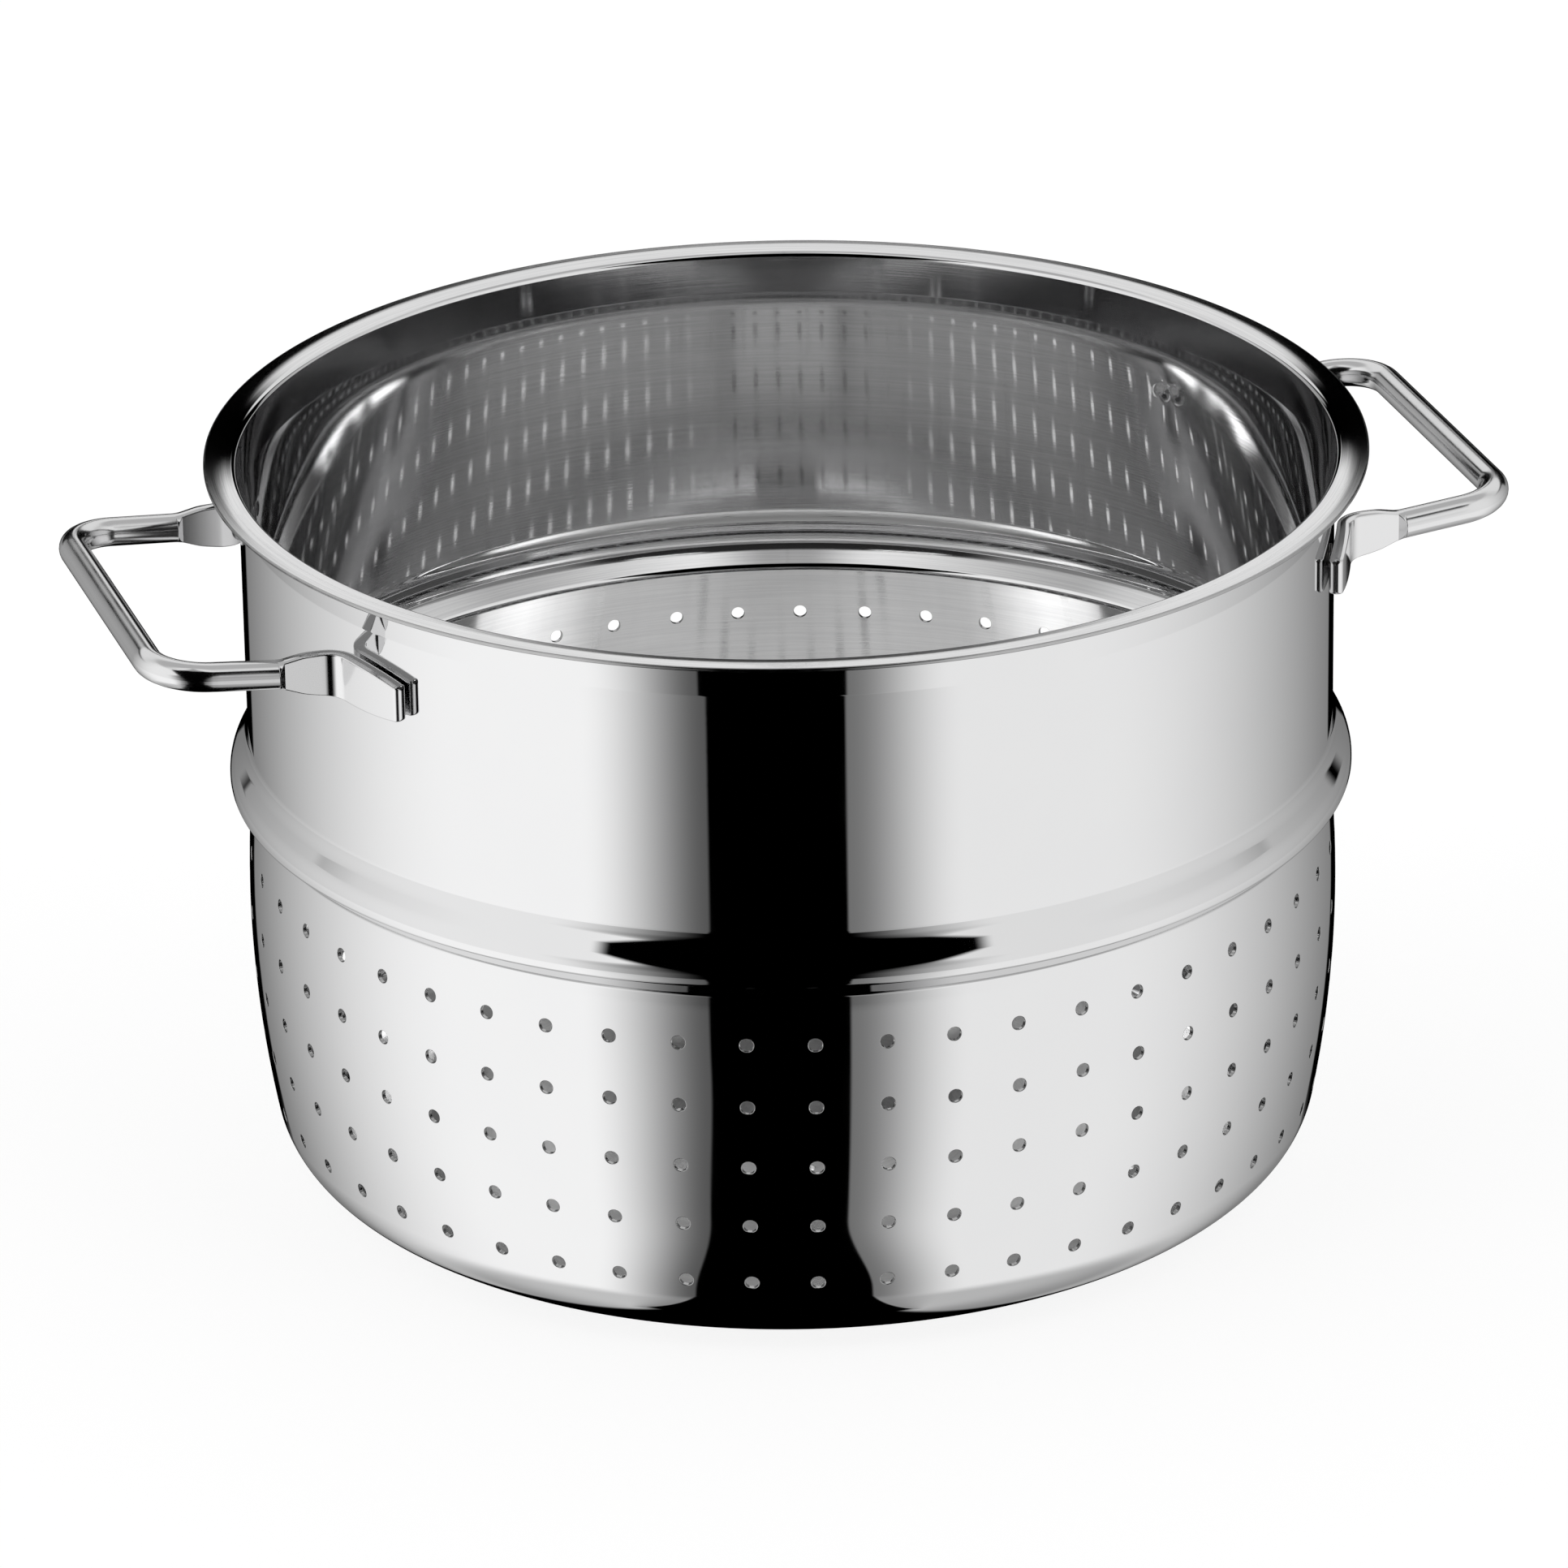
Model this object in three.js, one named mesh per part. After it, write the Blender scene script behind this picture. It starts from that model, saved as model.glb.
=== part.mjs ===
// Perforated fruit basket of a steam juicer, with two welded side handles.
// Millimetres, +Z up. The origin is the centre of the underside of the base, and the
// handles lie along X. The outside of the sheet sets every profile size.
import * as THREE from "three";
import { mergeVertices } from "three/addons/utils/BufferGeometryUtils.js";

// Sheet and overall sizes
const sheetThickness = 1.0;
const totalHeight = 175.4;
const lipRadius = 136.0;

// Pouring lip: it falls inwards from its edge, then turns down into a slightly flared collar
const lipWidth = 8.0;
const lipSlopeDeg = 4.5;
const lipBendRadius = 1.5;
const collarDepth = 10.3;
const collarFlareDeg = 9.0;

// Bead round the middle, which rests on the pan below
const beadTopHeight = 105.4;
const beadReach = 4.5;
const beadFlankDeg = 38.0;
const beadBottomHeight = 96.2;
const beadHollowRadius = 7.0;
const beadCrownRadius = 7.0;
const beadEdgeRadius = 1.2;
const neckHeight = 91.9;
const neckRadius = 1.2;

// Lower wall: a very flat barrel that runs into a round base corner
const barrelSwell = 0.9;
const barrelHeight = 65.2;
const barrelArcRadius = 282.6;
const cornerRadius = 17.3;

// Perforation: strokes of a three-column punch, repeated round the wall
const holeDiameter = 3.5;
const strokeCount = 17;
const columnsPerStroke = 3;
const columnStepDeg = 6.95;
const strokePhaseDeg = -6.21;
const rowCount = 5;
const topRowHeight = 80.0;
const rowPitch = 15.32;
const floorRingCount = 3;
const floorRingPitch = 28.0;

// Handles: one bent rod each, with flattened leg ends. The bar's reach is from the edge of the lip
// and its drop is from the top of the lip.
const rodDiameter = 6.8;
const barReach = 27.0;
const barDrop = 18.6;
const barHalfLength = 46.0;
const cornerBendRadius = 12.1;
const legSplayDeg = 2.15;
const legDrop = 0.085;
const roundLegLength = 27.0;
const stepLength = 1.6;
const bladeThickness = 3.3;
const bladeHeight = 11.3;
const bladeEdgeChamfer = 0.8;
const wallBendRadius = 6.0;
const padGap = 0.7;
const padEndDeg = 30.5;
const padEndRound = 1.2;

// Half heights of the blade along its length, as shares of the full half height
const bladeRunShares = [0, 0.1, 0.24, 0.36, 0.57, 0.78, 0.9, 1];
const bladeHeightShares = [0.69, 0.83, 0.92, 0.965, 1, 0.95, 0.86, 0.76];

// Spot welds between each pad and the wall
const weldDiameter = 3.4;
const weldClearance = 0.2;
const weldFirstDeg = 24.6;
const weldPitch = 4.6;

// Fineness of the faceted surfaces
const holeSides = 5;
const weldSides = 14;
const cornerSteps = 4;
const bendSteps = 2;
const handleBendSteps = 8;
const wallBendSteps = 5;
const padSteps = 4;

// Radii and heights that follow the lip
const wallRadius = lipRadius - lipWidth;
const barrelRadius = wallRadius + barrelSwell;
const barDistance = lipRadius + barReach;
const barHeight = totalHeight - barDrop;

const rad = THREE.MathUtils.degToRad;

// Point of a circle in the profile plane, with x outwards and y up
function polar(centre, radius, angle) {
  return new THREE.Vector2(centre.x + radius * Math.cos(angle), centre.y + radius * Math.sin(angle));
}

// Shares of a turn at which a rounded corner is sampled
function evenShares(steps) {
  return Array.from({ length: steps + 1 }, (_, step) => step / steps);
}

function rowHeights() {
  return Array.from({ length: rowCount }, (_, row) => topRowHeight - row * rowPitch);
}

// Shares of the barrel's arc that fall midway between the rows of holes, from the bottom up
function barrelShares(lowAngle, highAngle) {
  const heights = rowHeights().slice(1).map((height) => height + rowPitch / 2).reverse();
  const angles = heights.map((height) => Math.asin((height - barrelHeight) / barrelArcRadius));
  return [...angles.map((angle) => (angle - lowAngle) / (highAngle - lowAngle)), 1];
}

// Corners of the outside profile, each with the radius that rounds it. The barrel arc and the
// base corner are corners too, placed where the tangents at their ends cross.
function profileCorners() {
  const barrelCentre = new THREE.Vector2(barrelRadius - barrelArcRadius, barrelHeight);
  const reach = barrelArcRadius - cornerRadius;
  const cornerRise = barrelHeight - cornerRadius;
  const cornerCentreX = barrelCentre.x + Math.sqrt(reach ** 2 - cornerRise ** 2);
  const lowAngle = -Math.asin(cornerRise / reach);
  const neckRun = 2 * neckRadius;
  const highAngle = Math.asin((neckHeight - neckRun - barrelHeight) / barrelArcRadius);
  const baseCorner = cornerRadius * Math.tan((Math.PI / 2 + lowAngle) / 2);
  const middle = (lowAngle + highAngle) / 2;
  const barrelReach = barrelArcRadius / Math.cos((highAngle - lowAngle) / 2);
  const barrelTop = polar(barrelCentre, barrelArcRadius, highAngle);
  const neck = polar(barrelTop, neckRun, highAngle + Math.PI / 2);
  const beadRadius = wallRadius + beadReach;
  const flankFall = beadReach / Math.tan(rad(beadFlankDeg));
  const collarFoot = totalHeight - collarDepth;
  const lipUnder = totalHeight - sheetThickness;
  const flare = Math.tan(rad(collarFlareDeg));
  const slope = Math.tan(rad(lipSlopeDeg));
  const collarRise = (lipUnder - slope * (lipRadius - wallRadius) - collarFoot) / (1 - slope * flare);
  const bend = evenShares(bendSteps);
  const chamfer = evenShares(1);
  return [
    { at: new THREE.Vector2(0, 0), radius: 0, shares: [] },
    {
      at: new THREE.Vector2(cornerCentreX + baseCorner, 0),
      radius: cornerRadius,
      shares: evenShares(cornerSteps),
    },
    {
      at: polar(barrelCentre, barrelReach, middle),
      radius: barrelArcRadius,
      shares: barrelShares(lowAngle, highAngle),
    },
    { at: neck, radius: neckRadius, shares: chamfer },
    { at: new THREE.Vector2(beadRadius, beadBottomHeight), radius: beadEdgeRadius, shares: chamfer },
    { at: new THREE.Vector2(beadRadius, beadTopHeight - flankFall), radius: beadCrownRadius, shares: bend },
    { at: new THREE.Vector2(wallRadius, beadTopHeight), radius: beadHollowRadius, shares: bend },
    { at: new THREE.Vector2(wallRadius, collarFoot), radius: 0, shares: [] },
    {
      at: new THREE.Vector2(wallRadius + flare * collarRise, collarFoot + collarRise),
      radius: lipBendRadius,
      shares: bend,
    },
    { at: new THREE.Vector2(lipRadius, lipUnder), radius: 0, shares: [] },
  ];
}

// Points of the profile at a depth below the outside surface, with every corner rounded
function profileAtDepth(corners, depth) {
  const points = [];
  corners.forEach((corner, index) => {
    const before = corners[Math.max(index - 1, 0)].at;
    const after = corners[Math.min(index + 1, corners.length - 1)].at;
    const arriving = corner.at.clone().sub(before).normalize();
    const leaving = after.clone().sub(corner.at).normalize();
    const first = index === 0 ? leaving : arriving;
    const last = index === corners.length - 1 ? arriving : leaving;
    const inFirst = new THREE.Vector2(-first.y, first.x);
    const inLast = new THREE.Vector2(-last.y, last.x);
    const half = first.angleTo(last) / 2;
    const mitre = inFirst.clone().add(inLast).normalize();
    if (corner.radius === 0) {
      points.push(corner.at.clone().addScaledVector(mitre, depth / Math.cos(half)));
      return;
    }
    const side = Math.sign(first.cross(last));
    const centre = corner.at.clone().addScaledVector(mitre, (side * corner.radius) / Math.cos(half));
    const from = inFirst.clone().multiplyScalar(-side).angle();
    const radius = corner.radius - side * depth;
    for (const share of corner.shares) {
      points.push(polar(centre, radius, from + side * 2 * half * share));
    }
  });
  return points;
}

// Directions of the perforated columns round the wall
function columnAngles() {
  const angles = [];
  const strokeStep = (2 * Math.PI) / strokeCount;
  for (let stroke = 0; stroke < strokeCount; stroke += 1) {
    for (let column = 0; column < columnsPerStroke; column += 1) {
      const offset = (column - (columnsPerStroke - 1) / 2) * rad(columnStepDeg);
      angles.push(rad(strokePhaseDeg) + stroke * strokeStep + offset);
    }
  }
  return angles;
}

// Directions of the edges between the flat facets of the shell, one facet to a column
function facetEdges() {
  const columns = columnAngles();
  return columns.map((angle, index) => {
    const before = index === 0 ? columns[columns.length - 1] - 2 * Math.PI : columns[index - 1];
    return (before + angle) / 2;
  });
}

// Corners of a hole about its centre, with the area of the round hole
function holeCorners() {
  const slice = (2 * Math.PI) / holeSides;
  const radius = (holeDiameter / 2) * Math.sqrt(slice / Math.sin(slice));
  return Array.from({ length: holeSides }, (_, index) => {
    const angle = Math.PI / 2 + index * slice;
    return new THREE.Vector2(radius * Math.cos(angle), radius * Math.sin(angle));
  });
}

function around(point, angle) {
  return new THREE.Vector3(point.x * Math.cos(angle), point.x * Math.sin(angle), point.y);
}

// Place on a flat facet between two profile points and two directions
function onFacet(low, high, edges, across, height) {
  const rise = (height - low.y) / (high.y - low.y);
  const radius = low.x + (high.x - low.x) * rise;
  const width = 2 * radius * Math.sin((edges[1] - edges[0]) / 2);
  const left = around(new THREE.Vector2(radius, height), edges[0]);
  const right = around(new THREE.Vector2(radius, height), edges[1]);
  return left.lerp(right, 0.5 + across / width);
}

function addFace(triangles, points, flip) {
  for (let index = 1; index < points.length - 1; index += 1) {
    const face = [points[0], points[index], points[index + 1]];
    triangles.push(...(flip ? face.reverse() : face));
  }
}

// A flat region with holes in it, given once in the plane and once in space
function addPerforated(triangles, flatOutline, flatHoles, placed, flip) {
  const flat = [...flatOutline, ...flatHoles.flat()];
  for (const face of THREE.ShapeUtils.triangulateShape(flatOutline, flatHoles)) {
    const clockwise = THREE.ShapeUtils.isClockWise(face.map((index) => flat[index]));
    const corners = face.map((index) => placed[index]);
    triangles.push(...(clockwise === flip ? corners : corners.reverse()));
  }
}

// The side walls of a hole, between its corners on the outside and on the inside of the sheet
function addHoleWall(triangles, outer, inner) {
  outer.forEach((corner, index) => {
    const next = (index + 1) % outer.length;
    addFace(triangles, [corner, outer[next], inner[next], inner[index]], false);
  });
}

function facet(low, high, edges) {
  return [around(low, edges[0]), around(low, edges[1]), around(high, edges[1]), around(high, edges[0])];
}

// One facet of the wall with its hole, on the outside or the inside of the sheet
function addWallFacet(triangles, low, high, edges, height, flip) {
  const ring = holeCorners().map((corner) => onFacet(low, high, edges, corner.x, height + corner.y));
  const flatHeight = high.y - low.y;
  const half = [low, high].map((point) => point.x * Math.sin((edges[1] - edges[0]) / 2));
  const flatOutline = [
    new THREE.Vector2(-half[0], 0),
    new THREE.Vector2(half[0], 0),
    new THREE.Vector2(half[1], flatHeight),
    new THREE.Vector2(-half[1], flatHeight),
  ];
  const flatHole = holeCorners().map((corner) => new THREE.Vector2(corner.x, height - low.y + corner.y));
  addPerforated(triangles, flatOutline, [flatHole], [...facet(low, high, edges), ...ring], flip);
  return ring;
}

// Centres of the drain holes in the floor, on rings that are turned by half a step in turn
function floorHoleCentres() {
  const centres = [];
  const step = (2 * Math.PI) / strokeCount;
  for (let ring = 1; ring <= floorRingCount; ring += 1) {
    for (let stroke = 0; stroke < strokeCount; stroke += 1) {
      const angle = rad(strokePhaseDeg) + (stroke + (ring % 2) / 2) * step;
      centres.push(polar(new THREE.Vector2(0, 0), ring * floorRingPitch, angle));
    }
  }
  return centres;
}

// The floor, from its edge inwards, on the outside or the inside of the sheet
function addFloor(triangles, edgePoint, angles, flip) {
  const outline = angles.map((angle) => polar(new THREE.Vector2(0, 0), edgePoint.x, angle));
  const holes = floorHoleCentres().map((centre) => holeCorners().map((corner) => corner.add(centre)));
  const lift = (point) => new THREE.Vector3(point.x, point.y, edgePoint.y);
  addPerforated(triangles, outline, holes, [...outline, ...holes.flat()].map(lift), flip);
  return holes.map((hole) => hole.map(lift));
}

// The pressed shell: flat facets between neighbouring profile points and directions. The
// barrel's bands follow the base corner's and hold one row of holes each.
function shellGeometry() {
  const corners = profileCorners();
  const outside = profileAtDepth(corners, 0).slice(1);
  const inside = profileAtDepth(corners, sheetThickness).slice(1);
  const angles = facetEdges();
  const rows = rowHeights().reverse();
  const last = outside.length - 1;
  const triangles = [];
  angles.forEach((angle, index) => {
    const edges = [angle, index === angles.length - 1 ? angles[0] + 2 * Math.PI : angles[index + 1]];
    for (let band = 0; band < last; band += 1) {
      const height = rows[band - cornerSteps];
      const skins = [[outside[band], outside[band + 1], false], [inside[band], inside[band + 1], true]];
      if (height === undefined) {
        for (const [low, high, flip] of skins) addFace(triangles, facet(low, high, edges), flip);
      } else {
        const [outer, inner] = skins.map(([low, high, flip]) => (
          addWallFacet(triangles, low, high, edges, height, flip)
        ));
        addHoleWall(triangles, outer, inner);
      }
    }
    addFace(triangles, facet(outside[last], inside[last], edges), false);
  });
  const underside = addFloor(triangles, outside[0], angles, true);
  const topside = addFloor(triangles, inside[0], angles, false);
  underside.forEach((hole, index) => addHoleWall(triangles, topside[index], hole));
  return closedGeometry(triangles);
}

// Merge the corners that faces share
function closedGeometry(triangles) {
  const geometry = new THREE.BufferGeometry().setFromPoints(triangles);
  const merged = mergeVertices(geometry);
  merged.computeVertexNormals();
  return merged;
}

// Half of the handle's centre line, seen from above, from the middle of the bar to one pad end.
// Each station has its place, its sideways direction, the length run since the corner,
// and its angle round the basket once it lies along the wall.
function handleHalf() {
  const turn = Math.PI / 2 - rad(legSplayDeg);
  const tangent = cornerBendRadius * Math.tan(turn / 2);
  const bendCentre = new THREE.Vector2(barDistance - cornerBendRadius, barHalfLength - tangent);
  const corner = new THREE.Vector2(barDistance, barHalfLength);
  const along = new THREE.Vector2(-Math.cos(rad(legSplayDeg)), Math.sin(rad(legSplayDeg)));
  const outward = new THREE.Vector2(along.y, -along.x);
  const stations = [{ at: new THREE.Vector2(barDistance, 0), side: new THREE.Vector2(1, 0), run: 0 }];
  for (let step = 0; step <= handleBendSteps; step += 1) {
    const angle = (turn * step) / handleBendSteps;
    const at = polar(bendCentre, cornerBendRadius, angle);
    const side = new THREE.Vector2(Math.cos(angle), Math.sin(angle));
    stations.push({ at, side, run: barDistance - at.x });
  }
  const padRadius = wallRadius + padGap + bladeThickness / 2;
  const start = corner.clone().addScaledVector(outward, wallBendRadius);
  const reach = padRadius + wallBendRadius;
  const along1 = start.dot(along);
  const legLength = -along1 - Math.sqrt(along1 ** 2 - start.lengthSq() + reach ** 2);
  const bladeStart = roundLegLength + stepLength;
  for (const run of [roundLegLength, bladeStart, (bladeStart + legLength) / 2]) {
    stations.push({ at: corner.clone().addScaledVector(along, run), side: outward.clone(), run });
  }
  const wallBendCentre = start.clone().addScaledVector(along, legLength);
  const padStart = wallBendCentre.angle();
  const wallTurn = Math.PI / 2 - rad(legSplayDeg) - padStart;
  for (let step = 0; step <= wallBendSteps; step += 1) {
    const turned = (wallTurn * step) / wallBendSteps;
    const side = outward.clone().rotateAround(new THREE.Vector2(0, 0), -turned);
    const at = wallBendCentre.clone().addScaledVector(side, -wallBendRadius);
    stations.push({ at, side, run: legLength + wallBendRadius * turned });
  }
  const bendEnd = legLength + wallBendRadius * wallTurn;
  const padSweep = rad(padEndDeg) - padStart;
  for (let step = 1; step <= padSteps; step += 1) {
    const angle = padStart + (padSweep * step) / padSteps;
    const at = polar(new THREE.Vector2(0, 0), padRadius, angle);
    const side = new THREE.Vector2(Math.cos(angle), Math.sin(angle));
    stations.push({ at, side, run: bendEnd + padRadius * (angle - padStart) });
  }
  return { stations, bendEnd, padRadius, padStart };
}

// Height of the centre line after a run from the corner
function centreHeight(run) {
  return barHeight - legDrop * run;
}

function interpolate(xs, ys, x) {
  let index = 1;
  while (index < xs.length - 1 && xs[index] < x) index += 1;
  const share = (x - xs[index - 1]) / (xs[index] - xs[index - 1]);
  return ys[index - 1] + (ys[index] - ys[index - 1]) * Math.min(Math.max(share, 0), 1);
}

// Twelve places round a section, as shares of the half thickness and half height
const roundShares = [];
const sectionCorners = 4;
const sectionPlaces = 3 * sectionCorners;
for (let place = 0; place < sectionPlaces; place += 1) {
  const angle = (2 * Math.PI * place) / sectionPlaces;
  roundShares.push([Math.cos(angle), Math.sin(angle)]);
}

// Section of the blade at the same twelve places: a rectangle with chamfered corners
function bladeSection(halfThickness, halfHeight, chamfer) {
  const thin = halfThickness - chamfer;
  const tall = halfHeight - chamfer;
  return roundShares.map(([across, up], place) => {
    if (place % 3 === 0) return [Math.round(across) * halfThickness, Math.round(up) * halfHeight];
    const nearFace = Math.abs(across) > Math.abs(up);
    const x = Math.sign(across) * (nearFace ? halfThickness : thin);
    const y = Math.sign(up) * (nearFace ? tall : halfHeight);
    return [x, y];
  });
}

function sectionAt(run, lastRun) {
  const bladeRun = roundLegLength + stepLength;
  if (run < bladeRun - stepLength / 2) {
    return roundShares.map(([across, up]) => [(across * rodDiameter) / 2, (up * rodDiameter) / 2]);
  }
  const share = (run - bladeRun) / (lastRun - bladeRun);
  const halfHeight = (bladeHeight / 2) * interpolate(bladeRunShares, bladeHeightShares, share);
  return bladeSection(bladeThickness / 2, halfHeight, bladeEdgeChamfer);
}

// Rings of points from one pad end, over the bar, to the other pad end
function handleRings() {
  const { stations } = handleHalf();
  const lastRun = stations[stations.length - 1].run;
  const half = stations.map((station) => {
    const section = sectionAt(station.run, lastRun);
    const z = centreHeight(station.run);
    return section.map(([across, up]) => {
      const place = station.at.clone().addScaledVector(station.side, across);
      return new THREE.Vector3(place.x, place.y, z + up);
    });
  });
  const last = stations[stations.length - 1];
  const tip = last.at.clone().add(new THREE.Vector2(-last.side.y, last.side.x).multiplyScalar(padEndRound));
  const capHeight = (bladeHeight / 2) * bladeHeightShares[bladeHeightShares.length - 1] - padEndRound;
  const cap = bladeSection(bladeThickness / 2 - padEndRound / 2, capHeight, bladeEdgeChamfer / 2);
  const capZ = centreHeight(lastRun + padEndRound);
  half.push(cap.map(([across, up]) => {
    const place = tip.clone().addScaledVector(last.side, across);
    return new THREE.Vector3(place.x, place.y, capZ + up);
  }));
  const mirrored = half.slice(1).reverse().map((ring) => ring.map((p) => new THREE.Vector3(p.x, -p.y, p.z)));
  return [...mirrored, ...half];
}

function handleGeometry() {
  const rings = handleRings();
  const places = sectionPlaces;
  const positions = rings.flat().flatMap((p) => [p.x, p.y, p.z]);
  const indices = [];
  for (let ring = 0; ring < rings.length - 1; ring += 1) {
    for (let place = 0; place < places; place += 1) {
      const a = ring * places + place;
      const b = ring * places + ((place + 1) % places);
      indices.push(a, a + places, b, b, a + places, b + places);
    }
  }
  const lastStart = (rings.length - 1) * places;
  for (let place = 1; place < places - 1; place += 1) {
    indices.push(0, place, place + 1);
    indices.push(lastStart, lastStart + place + 1, lastStart + place);
  }
  const geometry = new THREE.BufferGeometry();
  geometry.setAttribute("position", new THREE.Float32BufferAttribute(positions, 3));
  geometry.setIndex(indices);
  geometry.computeVertexNormals();
  return geometry;
}

// A weld nugget: a flat disc between the pad and the wall, facing outwards along X
function weldGeometry() {
  const thickness = padGap - 2 * weldClearance;
  const disc = new THREE.CylinderGeometry(weldDiameter / 2, weldDiameter / 2, thickness, weldSides);
  disc.rotateZ(-Math.PI / 2);
  return disc;
}

function rodSteel() {
  return new THREE.MeshStandardMaterial({ color: 0xc9cacc, roughness: 0.08, metalness: 1 });
}

function sheetSteel() {
  return new THREE.MeshStandardMaterial({ color: 0xd4d5d7, roughness: 0.12, metalness: 1 });
}

function weldSteel() {
  return new THREE.MeshStandardMaterial({ color: 0x9a9a98, roughness: 0.5, metalness: 1 });
}

function named(name, geometry, material) {
  const mesh = new THREE.Mesh(geometry, material);
  mesh.name = name;
  return mesh;
}

// One handle with the weld nuggets of its two pads, on the +X side
function handleGroup(label) {
  const group = new THREE.Group();
  group.add(named(`handle_${label}`, handleGeometry(), rodSteel()));
  const { bendEnd, padRadius, padStart } = handleHalf();
  const weldRadius = wallRadius + padGap / 2;
  for (const [side, sign] of [["a", 1], ["b", -1]]) {
    for (const index of [0, 1]) {
      const angle = rad(weldFirstDeg) + (index * weldPitch) / wallRadius;
      const run = bendEnd + padRadius * (angle - padStart);
      const weld = named(`weld_${label}_${side}${index + 1}`, weldGeometry(), weldSteel());
      weld.position.set(weldRadius * Math.cos(angle), sign * weldRadius * Math.sin(angle), centreHeight(run));
      weld.rotation.z = sign * angle;
      group.add(weld);
    }
  }
  return group;
}

const basket = new THREE.Group();
basket.add(named("basket_shell", shellGeometry(), sheetSteel()));
const rightHandle = handleGroup("right");
const leftHandle = handleGroup("left");
leftHandle.rotation.z = Math.PI;
basket.add(rightHandle, leftHandle);

export default basket;
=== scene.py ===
"""Looks of the perforated basket of a steam juicer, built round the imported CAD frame.

Lengths are in millimetres until a mesh is made. The outside of the sheet sets the profile, as in the CAD
source.
"""
import math

import bpy
import numpy as np
from mathutils import Matrix, Vector


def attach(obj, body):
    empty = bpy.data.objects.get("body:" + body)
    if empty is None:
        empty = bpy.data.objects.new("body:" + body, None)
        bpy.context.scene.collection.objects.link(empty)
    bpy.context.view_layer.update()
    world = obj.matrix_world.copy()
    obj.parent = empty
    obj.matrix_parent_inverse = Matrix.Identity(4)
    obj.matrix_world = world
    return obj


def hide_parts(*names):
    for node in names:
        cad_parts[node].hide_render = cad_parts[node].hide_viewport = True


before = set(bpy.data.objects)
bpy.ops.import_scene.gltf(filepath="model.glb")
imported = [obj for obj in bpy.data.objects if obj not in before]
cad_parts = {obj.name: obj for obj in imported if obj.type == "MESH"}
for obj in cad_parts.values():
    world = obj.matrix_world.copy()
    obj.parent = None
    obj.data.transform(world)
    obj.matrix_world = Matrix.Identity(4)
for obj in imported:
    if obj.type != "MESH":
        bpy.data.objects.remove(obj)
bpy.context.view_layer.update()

MM = 0.001

# Shell, as in the CAD source
SHEET = 1.0
TOTAL_HEIGHT = 175.4
LIP_RADIUS = 136.0
LIP_WIDTH = 8.0
LIP_INNER_SLOPE = math.radians(6.5)
LIP_OUTER_SLOPE = math.radians(2.5)
LIP_CROWN_RADIUS = 40.0
LIP_CROWN_SHARE = 0.42
LIP_BEND_RADIUS = 0.4
COLLAR_DEPTH = 10.3
COLLAR_FLARE = math.radians(9.0)
COLLAR_CREASE_RADIUS = 1.6
BEAD_TOP = 105.4
BEAD_REACH = 4.5
BEAD_FLANK = math.radians(38.0)
BEAD_BOTTOM = 96.2
BEAD_HOLLOW_RADIUS = 7.0
BEAD_CROWN_RADIUS = 7.0
BEAD_EDGE_RADIUS = 1.2
NECK_HEIGHT = 91.9
NECK_RADIUS = 1.2
BARREL_SWELL = 0.9
BARREL_HEIGHT = 65.2
BARREL_ARC = 282.6
CORNER_RADIUS = 17.3
CUT_EDGE_RADIUS = 0.35
WALL_DRAFT = math.radians(0.6)
WALL_DRAFT_START = BEAD_TOP + 2.0
WALL_DRAFT_BLEND = 4.0
WALL_END_SLACK = 0.05
WALL_SPREAD = math.radians(5.0)
WALL_SPREAD_HEIGHT = 10.0
WALL_RADIUS = LIP_RADIUS - LIP_WIDTH
BARREL_RADIUS = WALL_RADIUS + BARREL_SWELL

# Perforation
HOLE_RADIUS = 1.62
HOLE_ROLL = 0.15
HOLE_BURR = 0.08
STROKES = 17
COLUMNS_PER_STROKE = 3
COLUMN_STEP = math.radians(6.95)
STROKE_PHASE = math.radians(-6.21)
ROWS = 5
TOP_ROW = 80.0
ROW_PITCH = 15.32
FLOOR_RINGS = 3
FLOOR_RING_PITCH = 28.0

# Handles
ROD_RADIUS = 3.41
BAR_DISTANCE = LIP_RADIUS + 27.0
BAR_HEIGHT = TOTAL_HEIGHT - 18.6
BAR_HALF = 46.0
BAR_BEND = 12.1
LEG_SPLAY = math.radians(2.15)
LEG_DROP = 0.085
LEG_ROUND = 27.0
LEG_STEP = 1.6
BLADE_HALF = 1.65
WALL_BEND = 6.0
PAD_GAP = 0.7
PAD_END = math.radians(30.15)
PAD_END_ROUND = 1.5
PAD_END_TALL_ROUND = 1.2
BLADE_FILLET = 0.4
FILLET_START = 0.02
FILLET_GROWTH = 0.6
FILLET_END_SHARE = 0.5
BLADE_RUNS = [26.0, 28.6, 30.5, 32.5, 36.0, 40.0, 47.0, 54.0, 58.0, 62.0]
BLADE_HALF_HEIGHTS = [3.41, 3.62, 4.15, 4.72, 5.22, 5.47, 5.65, 5.35, 4.9, 4.25]

# Weld marks on the inside of the wall, behind each pad
WELD_FIRST = math.radians(24.6)
WELD_PITCH = 4.6
WELD_MARK_RADIUS = 1.5
WELD_MARK_DEPTH = 0.22
WELD_DENT_RADIUS = 9.0
WELD_DENT_DEPTH = 0.05

# Brushing of the inside, in cycles a radian round the axis and a metre across
BRUSH_ROUND = 5.0
BRUSH_ACROSS = 2400.0

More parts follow.
